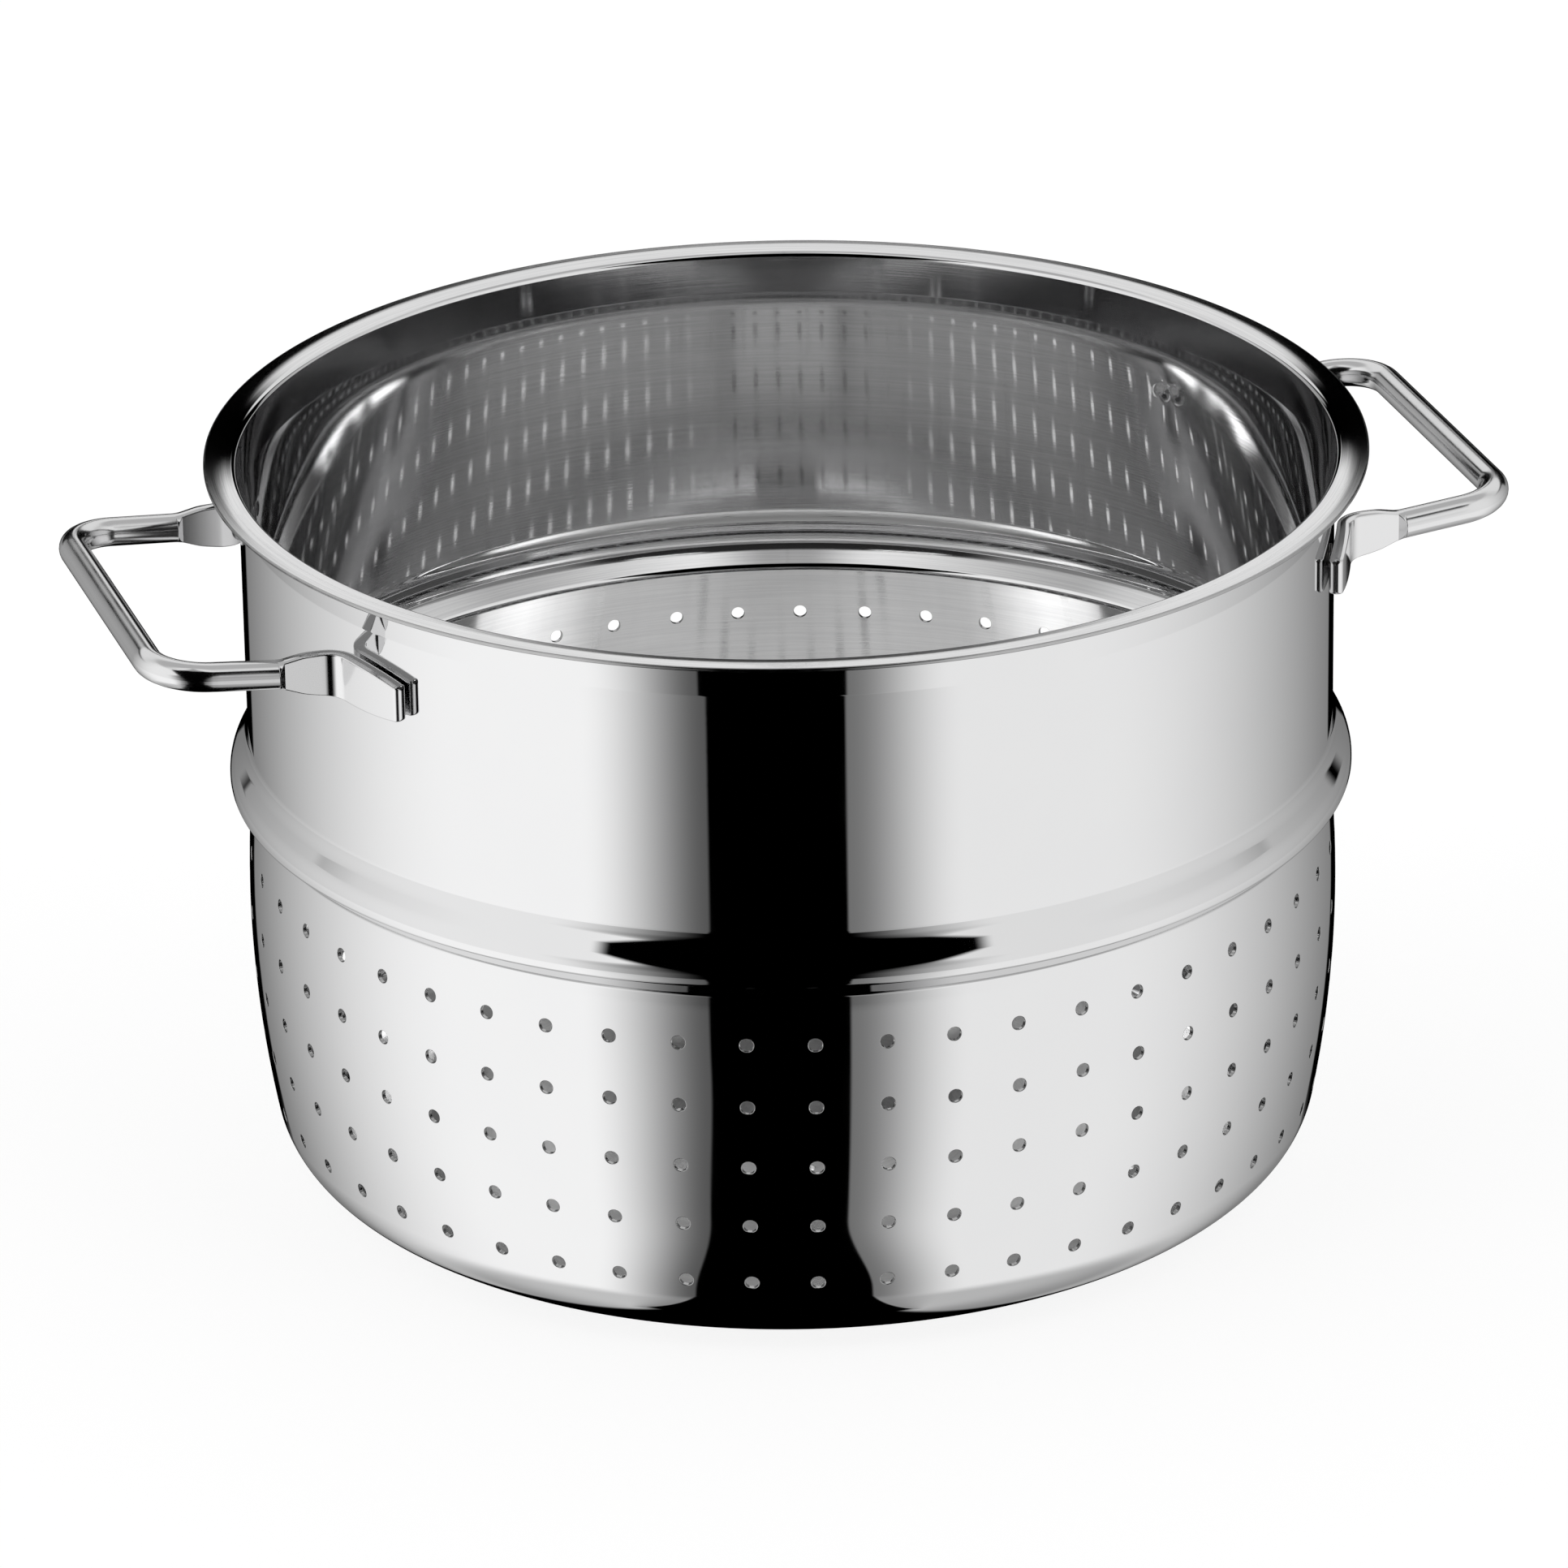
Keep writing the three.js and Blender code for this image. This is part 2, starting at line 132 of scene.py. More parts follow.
# Fineness
SEGMENTS = 6
FINE_SEGMENTS = 16
CELL_STEPS = 6
SKIN_SHARES = (0, 0.06, 0.3, 1)
ROLL_POINTS = 6
BURR_POINTS = 3
BASE_STEPS = 22
WELD_BAND = (142.0, 161.0)
WELD_BAND_STEP = 0.75
FACE_POINTS = 7
FILLET_POINTS = 5
CAP_POINTS = 15
RUN_POINTS = dict(bar=9, bend=21, leg=10, step=7, blade=12, wall_bend=17, pad=12, end=7)

# Points closer than this are joined. The offset keeps round values away from the limits between cells
MERGE_SIZE = 2e-3
MERGE_OFFSET = 0.137
TINY = 1e-6


def unit(v):
    return v / np.linalg.norm(v, axis=-1, keepdims=True)


# Mesh making


class Skins:
    """Collects patches of points with their own normals, and joins them into one mesh."""

    def __init__(self):
        self.points, self.normals, self.faces, self.slots, self.count = [], [], [], [], 0

    def grid(self, points, normals, slot, flip=False, wrap=False):
        """A patch of rows and columns of points. Its faces look along (column step) x (row step)."""
        rows, columns = points.shape[:2]
        index = np.arange(rows * columns).reshape(rows, columns) + self.count
        right = np.roll(index, -1, axis=1) if wrap else index[:, 1:]
        left = index if wrap else index[:, :-1]
        quads = np.stack([left[:-1], right[:-1], right[1:], left[1:]], -1).reshape(-1, 4)
        self._add(points.reshape(-1, 3), normals.reshape(-1, 3), quads[:, ::-1] if flip else quads, slot)

    def fan(self, points, normals, slot, flip=False):
        """A flat face over one ring of points."""
        face = list(range(self.count, self.count + len(points)))
        self._add(points, normals, [face[::-1] if flip else face], slot)

    def _add(self, points, normals, faces, slot):
        self.points.append(points)
        self.normals.append(normals)
        self.faces.extend([list(map(int, f)) for f in faces])
        self.slots.extend([slot] * len(faces))
        self.count += len(points)

    def build(self, name, materials):
        points = np.concatenate(self.points)
        normals = unit(np.concatenate(self.normals))
        keys = np.floor(points / MERGE_SIZE + MERGE_OFFSET).astype(np.int64)
        _, first, same = np.unique(keys, axis=0, return_index=True, return_inverse=True)
        same = same.reshape(-1)
        faces, slots, loop_normals = [], [], []
        for face, slot in zip(self.faces, self.slots):
            kept = [c for i, c in enumerate(face) if same[c] != same[face[i - 1]]]
            if len(kept) > 2 and len({same[c] for c in kept}) == len(kept):
                faces.append([int(same[c]) for c in kept])
                slots.append(slot)
                loop_normals.extend(kept)
        mesh = bpy.data.meshes.new(name)
        mesh.from_pydata((points[first] * MM).tolist(), [], faces)
        mesh.polygons.foreach_set("use_smooth", [True] * len(faces))
        mesh.polygons.foreach_set("material_index", slots)
        for material in materials:
            mesh.materials.append(material)
        mesh.normals_split_custom_set(normals[loop_normals].tolist())
        obj = bpy.data.objects.new(name, mesh)
        bpy.context.scene.collection.objects.link(obj)
        return obj


# Shell profile


def arc(centre, radius, start, stop, side, steps):
    """Points and outside normals along an arc of the profile that turns left (side 1) or right (-1)."""
    angles = np.linspace(start, stop, steps + 1)
    ring = np.stack([np.cos(angles), np.sin(angles)], -1)
    return centre + radius * ring, side * ring


def rounded(corners):
    """The profile through corners (r, z, radius, steps), as points with outside normals."""
    points, normals = [], []
    for before, here, after in zip(corners, corners[1:], corners[2:]):
        a = unit(np.subtract(here[:2], before[:2]))
        b = unit(np.subtract(after[:2], here[:2]))
        turn = math.atan2(a[0] * b[1] - a[1] * b[0], a @ b)
        side = math.copysign(1, turn)
        left_a = np.array([-a[1], a[0]])
        start = here[:2] - a * here[2] * math.tan(abs(turn) / 2)
        centre = start + side * here[2] * left_a
        angle = math.atan2(*(start - centre)[::-1])
        p, n = arc(centre, here[2], angle, angle + turn, side, here[3])
        points.append(p)
        normals.append(n)
    last = np.array(corners[-1][:2], float)
    points.append(last[None])
    normals.append(normals[-1][-1:])
    return np.concatenate(points), np.concatenate(normals)


def barrel(z):
    """Radius and outside normal of the barrel-shaped lower wall at a height."""
    angle = np.arcsin((z - BARREL_HEIGHT) / BARREL_ARC)
    radius = BARREL_RADIUS - BARREL_ARC + BARREL_ARC * np.cos(angle)
    return radius, np.stack([np.cos(angle), np.sin(angle)], -1)


def insert_levels(points, normals, low, high, step):
    """Adds points to the straight run between two heights, for marks that need them."""
    i = int(np.nonzero((points[:-1, 1] < low) & (points[1:, 1] > high))[0][0])
    z = np.arange(low, high, step)
    share = ((z - points[i, 1]) / (points[i + 1, 1] - points[i, 1]))[:, None]
    extra = points[i] + (points[i + 1] - points[i]) * share
    both = [(points, extra), (normals, np.repeat(normals[i][None], len(z), 0))]
    return [np.concatenate([a[: i + 1], b, a[i + 1:]]) for a, b in both]


ROW_HEIGHTS = [TOP_ROW - i * ROW_PITCH for i in range(ROWS)][::-1]
corner_rise = BARREL_HEIGHT - CORNER_RADIUS
corner_reach = BARREL_ARC - CORNER_RADIUS
CORNER_CENTRE = BARREL_RADIUS - BARREL_ARC + math.sqrt(corner_reach ** 2 - corner_rise ** 2)
BARREL_LOW_ANGLE = -math.asin(corner_rise / corner_reach)
BARREL_LOW = BARREL_HEIGHT + BARREL_ARC * math.sin(BARREL_LOW_ANGLE)
BAND_HEIGHTS = [BARREL_LOW] + [h + ROW_PITCH / 2 for h in ROW_HEIGHTS]


def base_profile():
    centre = np.array([CORNER_CENTRE, CORNER_RADIUS])
    return arc(centre, CORNER_RADIUS, -math.pi / 2, BARREL_LOW_ANGLE, 1, BASE_STEPS)


def upper_profile():
    """From above the top row of holes to the edge of the lip."""
    top_band, band_normal = barrel(np.array([BAND_HEIGHTS[-1]]))
    barrel_end = NECK_HEIGHT - 2 * NECK_RADIUS
    end_radius, end_normal = barrel(np.array([barrel_end]))
    along = np.array([-end_normal[0, 1], end_normal[0, 0]])
    neck = np.array([end_radius[0], barrel_end]) + along * 2 * NECK_RADIUS
    bead = WALL_RADIUS + BEAD_REACH
    crown = BEAD_TOP - BEAD_REACH / math.tan(BEAD_FLANK)
    foot = TOTAL_HEIGHT - COLLAR_DEPTH
    lip_under = TOTAL_HEIGHT - SHEET
    mid = LIP_RADIUS - LIP_CROWN_SHARE * LIP_WIDTH
    mid_height = lip_under - (LIP_RADIUS - mid) * math.tan(LIP_OUTER_SLOPE)
    slope, flare = math.tan(LIP_INNER_SLOPE), math.tan(COLLAR_FLARE)
    rise = (mid_height - slope * (mid - WALL_RADIUS) - foot) / (1 - slope * flare)
    corners = [
        (end_radius[0], barrel_end, 0, 0),
        (*neck, NECK_RADIUS, 8),
        (bead, BEAD_BOTTOM, BEAD_EDGE_RADIUS, 10),
        (bead, crown, BEAD_CROWN_RADIUS, 10),
        (WALL_RADIUS, BEAD_TOP, BEAD_HOLLOW_RADIUS, 12),
        (WALL_RADIUS, foot, COLLAR_CREASE_RADIUS, 5),
        (WALL_RADIUS + flare * rise, foot + rise, LIP_BEND_RADIUS, 14),
        (mid, mid_height, LIP_CROWN_RADIUS, 6),
        (LIP_RADIUS, lip_under, 0, 0),
    ]
    points, normals = rounded(corners)
    start = np.array([[top_band[0], BAND_HEIGHTS[-1]], [end_radius[0], barrel_end]])
    points = np.concatenate([start, points])
    normals = np.concatenate([band_normal, end_normal, normals])
    return insert_levels(points, normals, *WELD_BAND, WELD_BAND_STEP)


def column_angles():
    offsets = (np.arange(COLUMNS_PER_STROKE) - (COLUMNS_PER_STROKE - 1) / 2) * COLUMN_STEP
    strokes = STROKE_PHASE + np.arange(STROKES) * 2 * math.pi / STROKES
    return (strokes[:, None] + offsets).reshape(-1)


COLUMNS = column_angles()
EDGES = (np.concatenate([COLUMNS[-1:] - 2 * math.pi, COLUMNS[:-1]]) + COLUMNS) / 2
EDGES = np.concatenate([EDGES, EDGES[:1] + 2 * math.pi])


def weld_places():
    """Angle and height of each weld, for both pads of both handles."""
    places = []
    for index in range(2):
        angle = WELD_FIRST + index * WELD_PITCH / WALL_RADIUS
        run = handle_run_at(angle)
        for handle in (0, math.pi):
            for sign in (1, -1):
                places.append((handle + sign * angle, centre_height(run)))
    return places


def nearest_turn(angle):
    return (angle + math.pi) % (2 * math.pi) - math.pi


def column_segments():
    """Segments round the shell in each column: more where the weld marks are."""
    counts = []
    for low, high in zip(EDGES[:-1], EDGES[1:]):
        middle, half = (low + high) / 2, (high - low) / 2
        reach = half + 2 * WELD_MARK_RADIUS / WALL_RADIUS
        close = any(abs(nearest_turn(angle - middle)) < reach for angle, _ in weld_places())
        counts.append(FINE_SEGMENTS if close else SEGMENTS)
    return counts


# Handle path


def handle_stations():
    """Half of the centre line seen from above: place, sideways direction and run from the corner."""
    turn = math.pi / 2 - LEG_SPLAY
    tangent = BAR_BEND * math.tan(turn / 2)
    bend_centre = np.array([BAR_DISTANCE - BAR_BEND, BAR_HALF - tangent])
    corner = np.array([BAR_DISTANCE, BAR_HALF])
    along = np.array([-math.cos(LEG_SPLAY), math.sin(LEG_SPLAY)])
    outward = np.array([along[1], -along[0]])
    pad_radius = WALL_RADIUS + PAD_GAP + BLADE_HALF
    start = corner + outward * WALL_BEND
    forward = start @ along
    leg = -forward - math.sqrt(forward ** 2 - start @ start + (pad_radius + WALL_BEND) ** 2)
    bend2 = start + along * leg
    pad_start = math.atan2(bend2[1], bend2[0])
    wall_turn = math.pi / 2 - LEG_SPLAY - pad_start
    return dict(turn=turn, bend_centre=bend_centre, corner=corner, along=along, outward=outward,
                pad_radius=pad_radius, leg=leg, bend2=bend2, pad_start=pad_start, wall_turn=wall_turn)


PATH = handle_stations()
BEND_END = PATH["leg"] + WALL_BEND * PATH["wall_turn"]
PAD_RUN = BEND_END + PATH["pad_radius"] * (PAD_END - PATH["pad_start"])


def handle_run_at(angle):
    return BEND_END + PATH["pad_radius"] * (angle - PATH["pad_start"])


def centre_height(run):
    return BAR_HEIGHT - LEG_DROP * np.maximum(run, 0)


def path_at(run):
    """Place and sideways direction of the handle's centre line after a run from the leg's corner."""
    if run <= PATH["leg"]:
        return PATH["corner"] + PATH["along"] * run, PATH["outward"]
    if run <= BEND_END:
        turned = (run - PATH["leg"]) / WALL_BEND
        c, s = math.cos(-turned), math.sin(-turned)
        o = PATH["outward"]
        side = np.array([o[0] * c - o[1] * s, o[0] * s + o[1] * c])
        return PATH["bend2"] - side * WALL_BEND, side
    angle = PATH["pad_start"] + (run - BEND_END) / PATH["pad_radius"]
    side = np.array([math.cos(angle), math.sin(angle)])
    return side * PATH["pad_radius"], side


def smooth_curve(xs, ys, x):
    """Catmull-Rom curve through a table."""
    xs, ys = np.array(xs), np.array(ys)
    slopes = np.gradient(ys, xs)
    slopes[0] = 0.0
    i = np.clip(np.searchsorted(xs, x) - 1, 0, len(xs) - 2)
    h = xs[i + 1] - xs[i]
    t = np.clip((x - xs[i]) / h, 0, 1)
    return ((2 * t ** 3 - 3 * t ** 2 + 1) * ys[i] + (t ** 3 - 2 * t ** 2 + t) * h * slopes[i]
            + (3 * t ** 2 - 2 * t ** 3) * ys[i + 1] + (t ** 3 - t ** 2) * h * slopes[i + 1])


def section(half, tall, fillet):
    """Upper right of a section: half thickness, top of the flat face, and its side and cap with normals.

    The section is a circle of the rod's radius, raised to the half height and cut at the half thickness."""
    raise_by = tall - ROD_RADIUS
    half = min(half, ROD_RADIUS)
    if half > ROD_RADIUS - TINY:
        angles = np.linspace(0, math.pi, CAP_POINTS)
        cap_n = np.stack([np.cos(angles), np.sin(angles)], -1)
        cap = cap_n * ROD_RADIUS + [0, raise_by]
        side = np.repeat([[ROD_RADIUS, raise_by]], FILLET_POINTS, 0)
        side_n = np.repeat([[1.0, 0.0]], FILLET_POINTS, 0)
        return half, raise_by, (side, side_n), (cap, cap_n)
    inner = ROD_RADIUS - fillet
    corner_x = half - fillet
    corner_z = math.sqrt(inner ** 2 - corner_x ** 2)
    lean = math.atan2(corner_z, corner_x)
    a = np.linspace(0, lean, FILLET_POINTS)
    side_n = np.stack([np.cos(a), np.sin(a)], -1)
    side = np.array([corner_x, corner_z + raise_by]) + fillet * side_n
    angles = np.linspace(lean, math.pi - lean, CAP_POINTS)
    cap_n = np.stack([np.cos(angles), np.sin(angles)], -1)
    cap = cap_n * ROD_RADIUS + [0, raise_by]
    return half, corner_z + raise_by, (side, side_n), (cap, cap_n)


def ring_parts(half, tall, fillet):
    """Patches round a section: right face, fillet, top, fillet, left face, fillet, bottom, fillet."""
    half, face_top, (side, side_n), (cap, cap_n) = section(half, tall, fillet)
    z = np.linspace(-face_top, face_top, FACE_POINTS)
    face = np.stack([np.full(FACE_POINTS, half), z], -1)
    face_n = np.repeat([[1.0, 0.0]], FACE_POINTS, 0)
    flip_x, turn = np.array([-1, 1]), np.array([-1, -1])
    top = [(face, face_n), (side, side_n), (cap, cap_n), (side[::-1] * flip_x, side_n[::-1] * flip_x)]
    return top + [(p * turn, n * turn) for p, n in top]


def sweep(frames, halves, talls, fillets):
    """Patches of sections swept along frames (place, side, height), each with true normals."""
    parts = [ring_parts(h, t, f) for h, t, f in zip(halves, talls, fillets)]
    place = np.array([f[0] for f in frames])
    side = np.array([f[1] for f in frames])
    height = np.array([f[2] for f in frames])
    side3 = np.concatenate([side, np.zeros((len(side), 1))], 1)
    tangent = np.stack([-side[:, 1], side[:, 0], np.zeros(len(side))], -1)
    base = np.concatenate([place, height[:, None]], 1)
    up = np.array([0, 0, 1.0])
    for k in range(len(parts[0])):
        flat = np.array([p[k][0] for p in parts])
        normal = np.array([p[k][1] for p in parts])
        points = base[:, None] + flat[..., :1] * side3[:, None] + flat[..., 1:] * up
        outward = normal[..., :1] * side3[:, None] + normal[..., 1:] * up
        step = np.gradient(points, axis=0)
        ahead = (step * tangent[:, None]).sum(-1, keepdims=True)
        lean = (step * outward).sum(-1, keepdims=True)
        ahead = np.where(np.abs(ahead) < TINY, TINY, ahead)
        yield points, unit(outward - tangent[:, None] * lean / ahead)


def leg_frames(runs):
    return [(*path_at(r), centre_height(r)) for r in runs]


def half_heights(runs):
    return smooth_curve(BLADE_RUNS, BLADE_HALF_HEIGHTS, runs)


def half_handle(skins, mirror):
    """One half of the handle, from the middle of the bar to the end of the pad."""
    def add(frames, halves, talls, fillets):
        for points, normals in sweep(frames, halves, talls, fillets):
            skins.grid(points * mirror, normals * mirror, 0, flip=mirror[1] > 0)

    sides = [np.array([math.cos(a), math.sin(a)]) for a in np.linspace(0, PATH["turn"], RUN_POINTS["bend"])]
    bend = [(PATH["bend_centre"] + BAR_BEND * s, s) for s in sides]
    bar_places = np.linspace(0, PATH["bend_centre"][1], RUN_POINTS["bar"])[:-1]
    bar = [(np.array([BAR_DISTANCE, y]), np.array([1.0, 0.0])) for y in bar_places]
    runs = [0.0] * len(bar) + [BAR_DISTANCE - p[0] for p, _ in bend]
    leg_runs = list(np.linspace(runs[-1], LEG_ROUND, RUN_POINTS["leg"])[1:])
    frames = [(p, s, centre_height(r)) for (p, s), r in zip(bar + bend, runs)] + leg_frames(leg_runs)
    talls = [max(ROD_RADIUS, half_heights(r)) for r in runs + leg_runs]
    add(frames, [ROD_RADIUS] * len(talls), talls, [BLADE_FILLET] * len(talls))

    step = np.linspace(LEG_ROUND, LEG_ROUND + LEG_STEP, RUN_POINTS["step"])
    halves = ROD_RADIUS + (BLADE_HALF - ROD_RADIUS) * (step - LEG_ROUND) / LEG_STEP
    fillets = np.minimum(BLADE_FILLET, FILLET_START + FILLET_GROWTH * (ROD_RADIUS - halves))
    add(leg_frames(step), halves, half_heights(step), fillets)

    blade = np.concatenate([np.linspace(step[-1], PATH["leg"], RUN_POINTS["blade"])[:-1],
                            np.linspace(PATH["leg"], BEND_END, RUN_POINTS["wall_bend"])[:-1],
                            np.linspace(BEND_END, PAD_RUN, RUN_POINTS["pad"])])
    talls = half_heights(blade)
    add(leg_frames(blade), [BLADE_HALF] * len(blade), talls, [BLADE_FILLET] * len(blade))
    add_pad_end(skins, mirror, talls[-1])


def add_pad_end(skins, mirror, last_tall):
    """Rounds off the end of the pad and closes it with a flat face."""
    place, side = path_at(PAD_RUN)
    tangent = np.array([-side[1], side[0]])
    turns = np.linspace(0, math.pi / 2, RUN_POINTS["end"])
    rounding = 1 - np.cos(turns)
    frames = [(place + tangent * PAD_END_ROUND * math.sin(a), side, centre_height(PAD_RUN)) for a in turns]
    halves = BLADE_HALF - PAD_END_ROUND * rounding
    talls = last_tall - PAD_END_TALL_ROUND * rounding
    fillets = BLADE_FILLET * (1 - FILLET_END_SHARE * rounding)
    sections = [ring_parts(h, t, f) for h, t, f in zip(halves, talls, fillets)]
    side3, tangent3, up = np.array([*side, 0.0]), np.array([*tangent, 0.0]), np.array([0.0, 0.0, 1.0])
    c, s = np.cos(turns)[:, None, None], np.sin(turns)[:, None, None]
    cap = []
    for k, (points, _) in enumerate(sweep(frames, halves, talls, fillets)):
        flat = np.array([parts[k][1] for parts in sections])
        outward = flat[..., :1] * side3 + flat[..., 1:] * up
        skins.grid(points * mirror, unit(outward * c + tangent3 * s) * mirror, 0, flip=mirror[1] > 0)
        cap.append(points[-1][:-1])
    cap = np.concatenate(cap) * mirror
    skins.fan(cap, np.repeat((tangent3 * mirror)[None], len(cap), 0), 0, flip=mirror[1] < 0)


def make_handle(name, material):
    skins = Skins()
    half_handle(skins, np.array([1, 1, 1]))
    half_handle(skins, np.array([1, -1, 1]))
    return skins.build(name, [material])


# Shell


OUTSIDE, INSIDE, EDGE, FLOOR = 0, 1, 2, 3


def draft_wall(points, normals):
    """Leans the normals of the inside of the plain wall outwards a little going up, and more under the
    collar. The points stay where they are.
    """
    height = points[:, 1]
    foot = TOTAL_HEIGHT - COLLAR_DEPTH
    on_wall = (height > WALL_DRAFT_START) & (height < foot + WALL_END_SLACK)
    rise = np.clip((height - WALL_DRAFT_START) / WALL_DRAFT_BLEND, 0, 1)
    near = np.clip((height - foot + WALL_SPREAD_HEIGHT) / WALL_SPREAD_HEIGHT, 0, None)
    lean = np.where(on_wall, WALL_DRAFT * rise + WALL_SPREAD * near ** 2, 0.0)
    c, s = np.cos(lean), np.sin(lean)
    return np.stack([normals[:, 0] * c + normals[:, 1] * s, normals[:, 1] * c - normals[:, 0] * s], -1)


def revolve(points, normals, turns):
    c, s = np.cos(turns), np.sin(turns)
    p = np.stack([points[:, :1] * c, points[:, :1] * s, np.repeat(points[:, 1:], len(turns), 1)], -1)
    n = np.stack([normals[:, :1] * c, normals[:, :1] * s, np.repeat(normals[:, 1:], len(turns), 1)], -1)
    return p, n


def press_marks(points, normals):
    """Presses the weld marks and their shallow dents into the inside of the wall."""
    radius = np.hypot(points[..., 0], points[..., 1])
    angle = np.arctan2(points[..., 1], points[..., 0])
    height = points[..., 2]
    depth = np.zeros(radius.shape)
    slope_a, slope_z = np.zeros(radius.shape), np.zeros(radius.shape)
    for place, level in weld_places():
        da = ((angle - place + math.pi) % (2 * math.pi) - math.pi) * radius
        dz = height - level
        far = np.hypot(da, dz)
        for width, amount in ((WELD_MARK_RADIUS, WELD_MARK_DEPTH), (WELD_DENT_RADIUS, WELD_DENT_DEPTH)):
            bump = amount * np.exp(-(far / width) ** 2)
            depth += bump
            slope_a -= 2 * bump * da / width ** 2
            slope_z -= 2 * bump * dz / width ** 2
    round_way = np.stack([-np.sin(angle), np.cos(angle), np.zeros(radius.shape)], -1)
    up = np.array([0.0, 0.0, 1.0])
    moved = points - normals * depth[..., None]
    tilted = unit(normals + slope_a[..., None] * round_way + slope_z[..., None] * up)
    return moved, tilted


def cell_outline(low, high, bottom, top, across, steps):
    """Outline of a cell in (turn, level), anticlockwise from its low corner."""
    a = np.linspace(low, high, across + 1)
    b = np.linspace(bottom, top, steps + 1)
    sides = [(a[:-1], np.full(across, bottom)), (np.full(steps, high), b[:-1]),
             (a[:0:-1], np.full(across, top)), (np.full(steps, low), b[:0:-1])]
    return np.concatenate([np.stack(s, -1) for s in sides])


def pierce(skins, outline, radius, place, inner_slot=INSIDE):
    """A cell of the sheet with a round hole. outline is in millimetres about the hole's centre.

    place(points) gives the outside place, its normal, and the directions of the outline's two axes there."""
    angles = np.arctan2(outline[:, 1], outline[:, 0])
    ring = np.stack([np.cos(angles), np.sin(angles)], -1)

    def skin(start, depth, sign, slot, shares, flipped):
        flat = [start * ring * (1 - t) + outline * t for t in shares]
        at = [place(f) for f in flat]
        points = np.array([p - depth * n for p, n, _, _ in at])
        normals = np.array([sign * n for _, n, _, _ in at])
        skins.grid(points, normals, slot, flip=flipped, wrap=True)

    outer = radius + HOLE_ROLL
    skin(outer, 0.0, 1, OUTSIDE, SKIN_SHARES, True)
    skin(radius + HOLE_BURR, SHEET, -1, inner_slot, SKIN_SHARES, False)
    rows, row_normals = [], []
    rolls = [(outer - HOLE_ROLL * math.sin(a), HOLE_ROLL * (1 - math.cos(a)), math.cos(a))
             for a in np.linspace(0, math.pi / 2, ROLL_POINTS)]
    burrs = [(radius + HOLE_BURR * (1 - math.cos(a)), SHEET - HOLE_BURR * (1 - math.sin(a)), -math.sin(a))
             for a in np.linspace(0, math.pi / 2, BURR_POINTS)]
    for at_radius, depth, lean in rolls + burrs:
        p, n, u, v = place(at_radius * ring)
        away = ring[:, :1] * u + ring[:, 1:] * v
        rows.append(p - depth * n)
        row_normals.append(lean * n - math.sqrt(max(0.0, 1 - lean ** 2)) * away)
    skins.grid(np.array(rows), np.array(row_normals), EDGE, wrap=True)


def wall_place(centre, level, radius):
    """Places points of a cell of the barrel, given in millimetres about a hole."""
    def place(flat):
        turn = centre + flat[:, 0] / radius
        r, n2 = barrel(level + flat[:, 1])
        c, s = np.cos(turn), np.sin(turn)
        p = np.stack([r * c, r * s, level + flat[:, 1]], -1)
        n = np.stack([n2[:, 0] * c, n2[:, 0] * s, n2[:, 1]], -1)
        u = np.stack([-s, c, 0 * c], -1)
        return p, n, u, np.cross(n, u)
    return place


def floor_place(centre):
    def place(flat):
        p = np.concatenate([centre + flat, np.zeros((len(flat), 1))], 1)
        n = np.repeat([[0.0, 0.0, -1.0]], len(flat), 0)
        u, v = np.repeat([[1.0, 0.0, 0.0]], len(flat), 0), np.repeat([[0.0, 1.0, 0.0]], len(flat), 0)
        return p, n, u, v
    return place


def add_floor(skins, turns, per_column):
    """Floor with rings of holes, in sectors that end on the turns of the wall."""
    bounds = [FLOOR_RING_PITCH * (i + 0.5) for i in range(FLOOR_RINGS)] + [CORNER_CENTRE]
    starts = np.concatenate([[0], np.cumsum(per_column)])
    count = len(turns)

    def column_mark(column, share):
        """Index of the turn at a share of a column, counted on past a full turn."""
        laps, column = divmod(column, len(per_column))
        return int(starts[column] + share * per_column[column]) + laps * count

    for ring in range(1, FLOOR_RINGS + 1):
        centre_radius = ring * FLOOR_RING_PITCH
        for stroke in range(STROKES):
            column = stroke * COLUMNS_PER_STROKE
            if ring % 2:
                marks = column_mark(column + 1, 0.5), column_mark(column + 1 + COLUMNS_PER_STROKE, 0.5)
            else:
                marks = column_mark(column, 0), column_mark(column + COLUMNS_PER_STROKE, 0)
            ids = np.arange(marks[0], marks[1] + 1)
            arc_turns = np.array([turns[i % count] + 2 * math.pi * (i // count) for i in ids])
            middle = (arc_turns[0] + arc_turns[-1]) / 2
            low, high = bounds[ring - 1], bounds[ring]
            levels = np.linspace(low, high, CELL_STEPS + 1)
            rays = np.stack([np.cos(arc_turns), np.sin(arc_turns)], -1)
            outline = np.concatenate([low * rays[:-1], levels[:-1, None] * rays[-1],
                                      high * rays[:0:-1], levels[:0:-1, None] * rays[0]])
            centre = centre_radius * np.array([math.cos(middle), math.sin(middle)])
            pierce(skins, outline - centre, HOLE_RADIUS, floor_place(centre), FLOOR)
    inner = bounds[0] * np.stack([np.cos(turns), np.sin(turns)], -1)
    down, up = np.array([0.0, 0.0, -1.0]), np.array([0.0, 0.0, 1.0])
    flat = np.concatenate([inner, np.zeros((count, 1))], 1)
    skins.fan(flat, np.repeat(down[None], count, 0), OUTSIDE, flip=True)
    skins.fan(flat + up * SHEET, np.repeat(up[None], count, 0), FLOOR)


